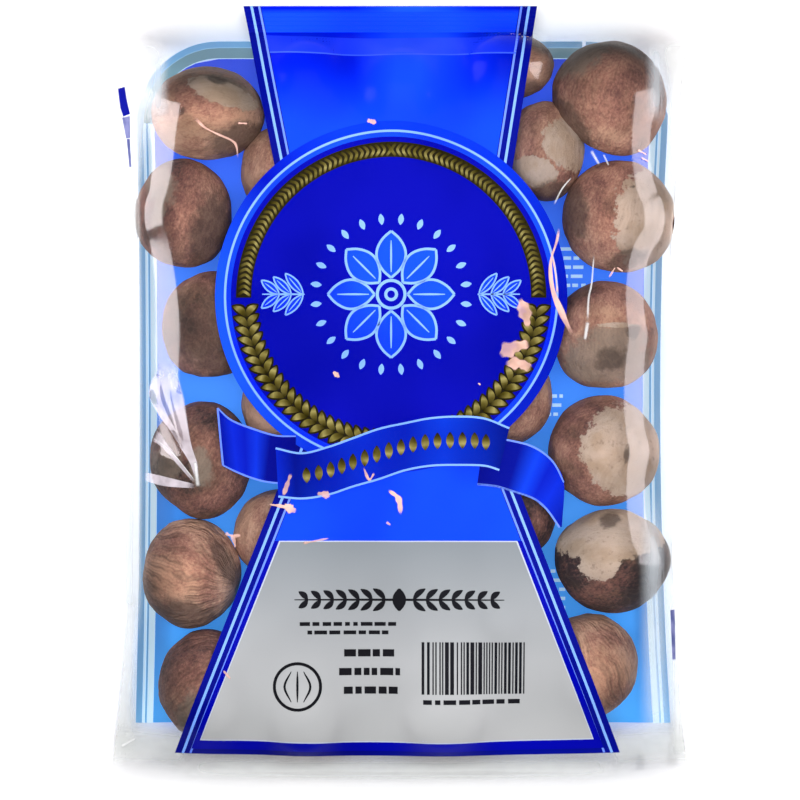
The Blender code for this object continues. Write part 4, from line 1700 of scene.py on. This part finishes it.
    # Painted reflections of the side lamps on the film's sloping sides.
    painted_reflections: tuple[tuple[tuple[Point, ...], float, float], ...] = (
        (((65.4, -22.0), (66.2, -58.0), (67.4, -97.0)), 8.0, 11.0),
        (((-63.3, 91.0), (-63.0, 82.0), (-62.6, 72.0)), 6.4, 7.0),
        (((66.8, 95.0), (66.8, 84.0), (66.2, 71.0)), 7.0, 7.0),
    )

    def build(self) -> None:
        """Makes the painted glints on creases, which lie over the print, and the painted sheen, white glints, margin
        light and painted reflections on bare film.
        """
        painted_glints = [Field.crease(points, start, end, ragged=1.0) for points, start, end in self.painted_glints]
        self.printer.lay("crease_painted_glints", painted_glints, CREASE_PAINTED_GLINT.material(), "clear_film", 0.33)
        fold_sheens = [Field.between(low, high) for low, high in self.fold_sheens]
        self.printer.lay("fold_painted_sheens", fold_sheens, FOLD_PAINTED_SHEEN.material(), "clear_film", 0.05)
        edges = [Field.crease(points, start, end, 0.3) for points, start, end in self.edges]
        self.printer.lay("white_painted_glints", edges, WHITE_PAINTED_GLINT.material(), "clear_film", 0.08)
        margin_light_strips = [Field.crease(points, start, end, 0.0) for points, start, end in self.margin_light_strips]
        self.printer.lay("margin_painted_light", margin_light_strips, MARGIN_PAINTED_LIGHT.material(), "clear_film", 0.04)
        painted_reflections = [Field.crease(points, start, end, 0.0) for points, start, end in self.painted_reflections]
        self.printer.lay("film_painted_reflections", painted_reflections, FILM_PAINTED_REFLECTION.material(), "clear_film", 0.05)


@dataclass
class BackPrint:
    """Sky-blue panel on the back film with a thin double border and round top corners."""

    printer: Printer
    left: float = -63.9
    right: float = 63.9
    drift: tuple[float, float] = (-0.55, 1.4)
    top: float = 89.7
    bottom: float = -84.8
    corner: float = 17.0

    def outline(self, grow: float, steps: int = 12) -> tuple[list[Point], list[Point]]:
        """Left and right side of the panel, from its foot up to the middle of its top.

        Args:
            grow: How far the outline lies outside the panel.
            steps: Divisions of each round corner.
        """
        sides = []
        for way, edge, drift in ((-1, self.left - grow, self.drift[0]), (1, self.right + grow, self.drift[1])):
            radius, top = self.corner + grow, self.top + grow
            points = [(edge + drift * (y / 62) ** 2, y) for y in np.linspace(self.bottom, top - radius, 9)]
            corner = points[-1][0]
            for step in range(1, steps + 1):
                turn = math.pi / 2 * step / steps
                points.append((corner - way * radius * (1 - math.cos(turn)), top - radius * (1 - math.sin(turn))))
            sides.append(points)
        return sides[0], sides[1]

    def build(self) -> None:
        """Lays the panel and its border lines."""
        panel = Field(120, 150, self.fill(*self.outline(0.0)))
        self.printer.lay("back_panel", [panel], SKY_PAINTED_LIGHT.material(), "sky_blue_print", 0.06, Side.BACK)
        lines = []
        for grow, width in ((1.9, 0.5), (3.7, 1.6)):
            for side in self.outline(grow):
                lines.append(Field.stroke(side, width))
        left, right = self.left + self.corner - 1.0, self.right - self.corner + 1.0
        # Pale base with a painted glow under the border lines: painted light in place of the shaded bare film between
        # them.
        base = [Field.stroke(side, 4.5) for side in self.outline(2.25)]
        base.append(Field.bar(left, right, self.top, self.top + 4.5))
        self.printer.lay("back_border_painted_light", base, BORDER_PAINTED_LIGHT.material(), "pale_print", 0.02, Side.BACK)
        lines.append(Field.bar(left, right, self.top + 2.9, self.top + 4.5))
        self.printer.lay("back_border", lines, SKY_LINE_PAINTED_GLOW.material(), "sky_blue_print", 0.12, Side.BACK)
        head = [Field.stroke(side[8:], 2.7) for side in self.outline(1.5)]
        head.append(Field.bar(left, right, self.top + 0.15, self.top + 2.85))
        self.printer.lay("back_head_line", head, TEAL_PAINTED_GLOW.material(), "sky_blue_print", 0.14, Side.BACK)
        self.printer.lay("back_rules", self.rules(), RULE_PAINTED_GLOW.material(), "pale_print", 0.1, Side.BACK)

    def rules(self, seed: int = 9) -> Iterable[Field]:
        """Rows of plain pale dashes over the panel, in four blocks."""
        draw = random.Random(seed)
        for left, right, top, count in (
            (-20.0, 20.0, 74.0, 8),
            (16.0, 49.0, 39.4, 5),
            (4.0, 43.0, 0.6, 3),
            (4.0, 43.6, -45.6, 5),
        ):
            for row in range(count):
                yield from FrontPrint.dashes(left, right, top - 2.4 * row, 0.9, draw)

    def fill(self, left: list[Point], right: list[Point]) -> PlaceRule:
        """Rule that fills the space between the two sides of the panel."""
        heights = np.array([p[1] for p in left])
        reach_left, reach_right = np.array([p[0] for p in left]), np.array([p[0] for p in right])

        def place(u: np.ndarray, v: np.ndarray) -> tuple[np.ndarray, np.ndarray]:
            """Place of each share across and up the panel."""
            y = self.bottom + (self.top - self.bottom) * v
            first, last = np.interp(y, heights, reach_left), np.interp(y, heights, reach_right)
            return first + (last - first) * u, y

        return place


@dataclass
class Studio:
    """White floor, soft lights and a camera that looks straight down on the front."""

    camera_height: float = 1.2
    subject_height: float = 18 * MM
    view_width: float = 208 * MM
    sensor: float = 36.0
    wall_distance: float = 0.2
    wall_foot: float = 0.01
    wall_top: float = 0.165
    left_wall: tuple[float, float, float] = (0.0, 0.145, 5.4)
    right_wall: tuple[float, float, float] = (-0.06, 0.12, 3.6)
    ceiling_glow: float = 4.4

    def build(self) -> None:
        """Sets up the floor, the camera, the lights and the sky."""
        self.floor()
        self.camera()
        middle = (self.wall_top + self.wall_foot) / 2
        for name, side, (near, far, glow) in (
            ("left_wall", -1, self.left_wall),
            ("right_wall", 1, self.right_wall),
        ):
            place = (side * self.wall_distance, (near + far) / 2, middle)
            aim = (0.0, place[1], middle)
            size = (far - near, self.wall_top - self.wall_foot)
            self.lamp(name, place, aim, size, glow, (1.0, 0.95, 0.965))
        ceiling = self.lamp("ceiling", (0.0, 0.0, 1.6), (0.0, 0.0, 0.0), (1.7, 1.7), self.ceiling_glow, (1, 1, 1))
        ceiling.visible_glossy = False
        self.sky()
        bpy.context.scene.view_settings.view_transform = "Standard"

    def floor(self) -> None:
        """Wide floor under the bag."""
        shape = bmesh.new()
        bmesh.ops.create_grid(shape, x_segments=8, y_segments=8, size=3.0)
        bmesh.ops.translate(shape, verts=shape.verts[:], vec=(0, 0, -0.05 * MM))
        floor = finished("floor", shape, FloorFinish("white_floor", (0.94, 0.94, 0.945), 0.12).material())
        floor.visible_glossy = False
        floor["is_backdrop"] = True

    def camera(self) -> None:
        """Camera over the middle of the bag."""
        data = bpy.data.cameras.new("camera")
        data.sensor_width = self.sensor
        data.lens = self.sensor * (self.camera_height - self.subject_height) / self.view_width
        camera = bpy.data.objects.new("camera", data)
        camera.location = (0, 0, self.camera_height)
        bpy.context.scene.collection.objects.link(camera)
        bpy.context.scene.camera = camera

    @staticmethod
    def lamp(
        name: str,
        at: tuple[float, float, float],
        aim: tuple[float, float, float],
        size: tuple[float, float],
        glow: float,
        colour: Colour,
    ) -> bpy.types.Object:
        """Adds a soft box.

        Args:
            name: The lamp's name.
            at: Its place.
            aim: The place that it faces.
            size: Its length and its width.
            glow: Brightness of its face, with a lit white floor as 1.
            colour: Its colour.

        Returns:
            The lamp.
        """
        data = bpy.data.lights.new(name, "AREA")
        data.shape = "RECTANGLE"
        data.size, data.size_y = size
        data.energy = glow * math.pi * size[0] * size[1]
        data.color = colour
        lamp = bpy.data.objects.new(name, data)
        facing = (Vector(at) - Vector(aim)).normalized()
        side = Vector((0, 1, 0)) if abs(facing.x) > 0.5 else Vector((1, 0, 0))
        up = facing.cross(side).normalized()
        side = up.cross(facing).normalized()
        lamp.matrix_world = Matrix.Translation(at) @ Matrix((side, up, facing)).transposed().to_4x4()
        lamp.visible_camera = False
        bpy.context.scene.collection.objects.link(lamp)
        return lamp

    @staticmethod
    def sky() -> None:
        """Soft light from all round, by height from straight down to straight up."""
        world = bpy.data.worlds.new("studio_sky")
        world.use_nodes = True
        g = Graph(world.node_tree)
        way = g.add("ShaderNodeTexCoord").outputs["Generated"]
        up = g.add("ShaderNodeSeparateXYZ", {0: way}).outputs[2]
        stops = (
            (-0.6, 3.4), (-0.25, 1.9), (0.0, 1.1), (0.08, 1.2), (0.25, 1.0), (0.5, 0.6), (0.75, 0.3), (0.95, 0.08),
        )
        share = g.math("MULTIPLY_ADD", up, 0.5, 0.5)
        tone = g.ramp(share, [(0.5 + 0.5 * height, (level, level, level)) for height, level in stops])
        background = world.node_tree.nodes["Background"]
        g.feed(background.inputs["Color"], tone)
        background.inputs["Strength"].default_value = 0.2
        bpy.context.scene.world = world


CREASES = (
    Crease((-62.0, 6.0), (-55.5, -14.5), 1.6, 0.8),
    Crease((-66.0, -12.0), (-57.5, -16.5), 1.4, 0.8),
    Crease((-74.0, -90.0), (-64.0, -86.5), 1.5, 0.7),
    Crease((38.0, 90.0), (60.0, 95.0), 1.5, 0.6),
)


def main() -> None:
    """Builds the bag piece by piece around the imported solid."""
    logging.basicConfig(level=logging.INFO, format="%(message)s")
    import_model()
    low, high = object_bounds()
    nuts = NutLayout().all()
    form = FilmForm(high[1] - low[1], high[0] - low[0], nuts, creases=CREASES)
    for film in FilmBag(form).build():
        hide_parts(BAG_NODE)
    NutLot(form, nuts).build()
    printer = Printer(form)
    BackPrint(printer).build()
    FrontPrint(printer, form.length).build()
    FilmPaintedLight(printer).build()
    Studio().build()
    low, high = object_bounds()


if __name__ == "__main__":
    main()
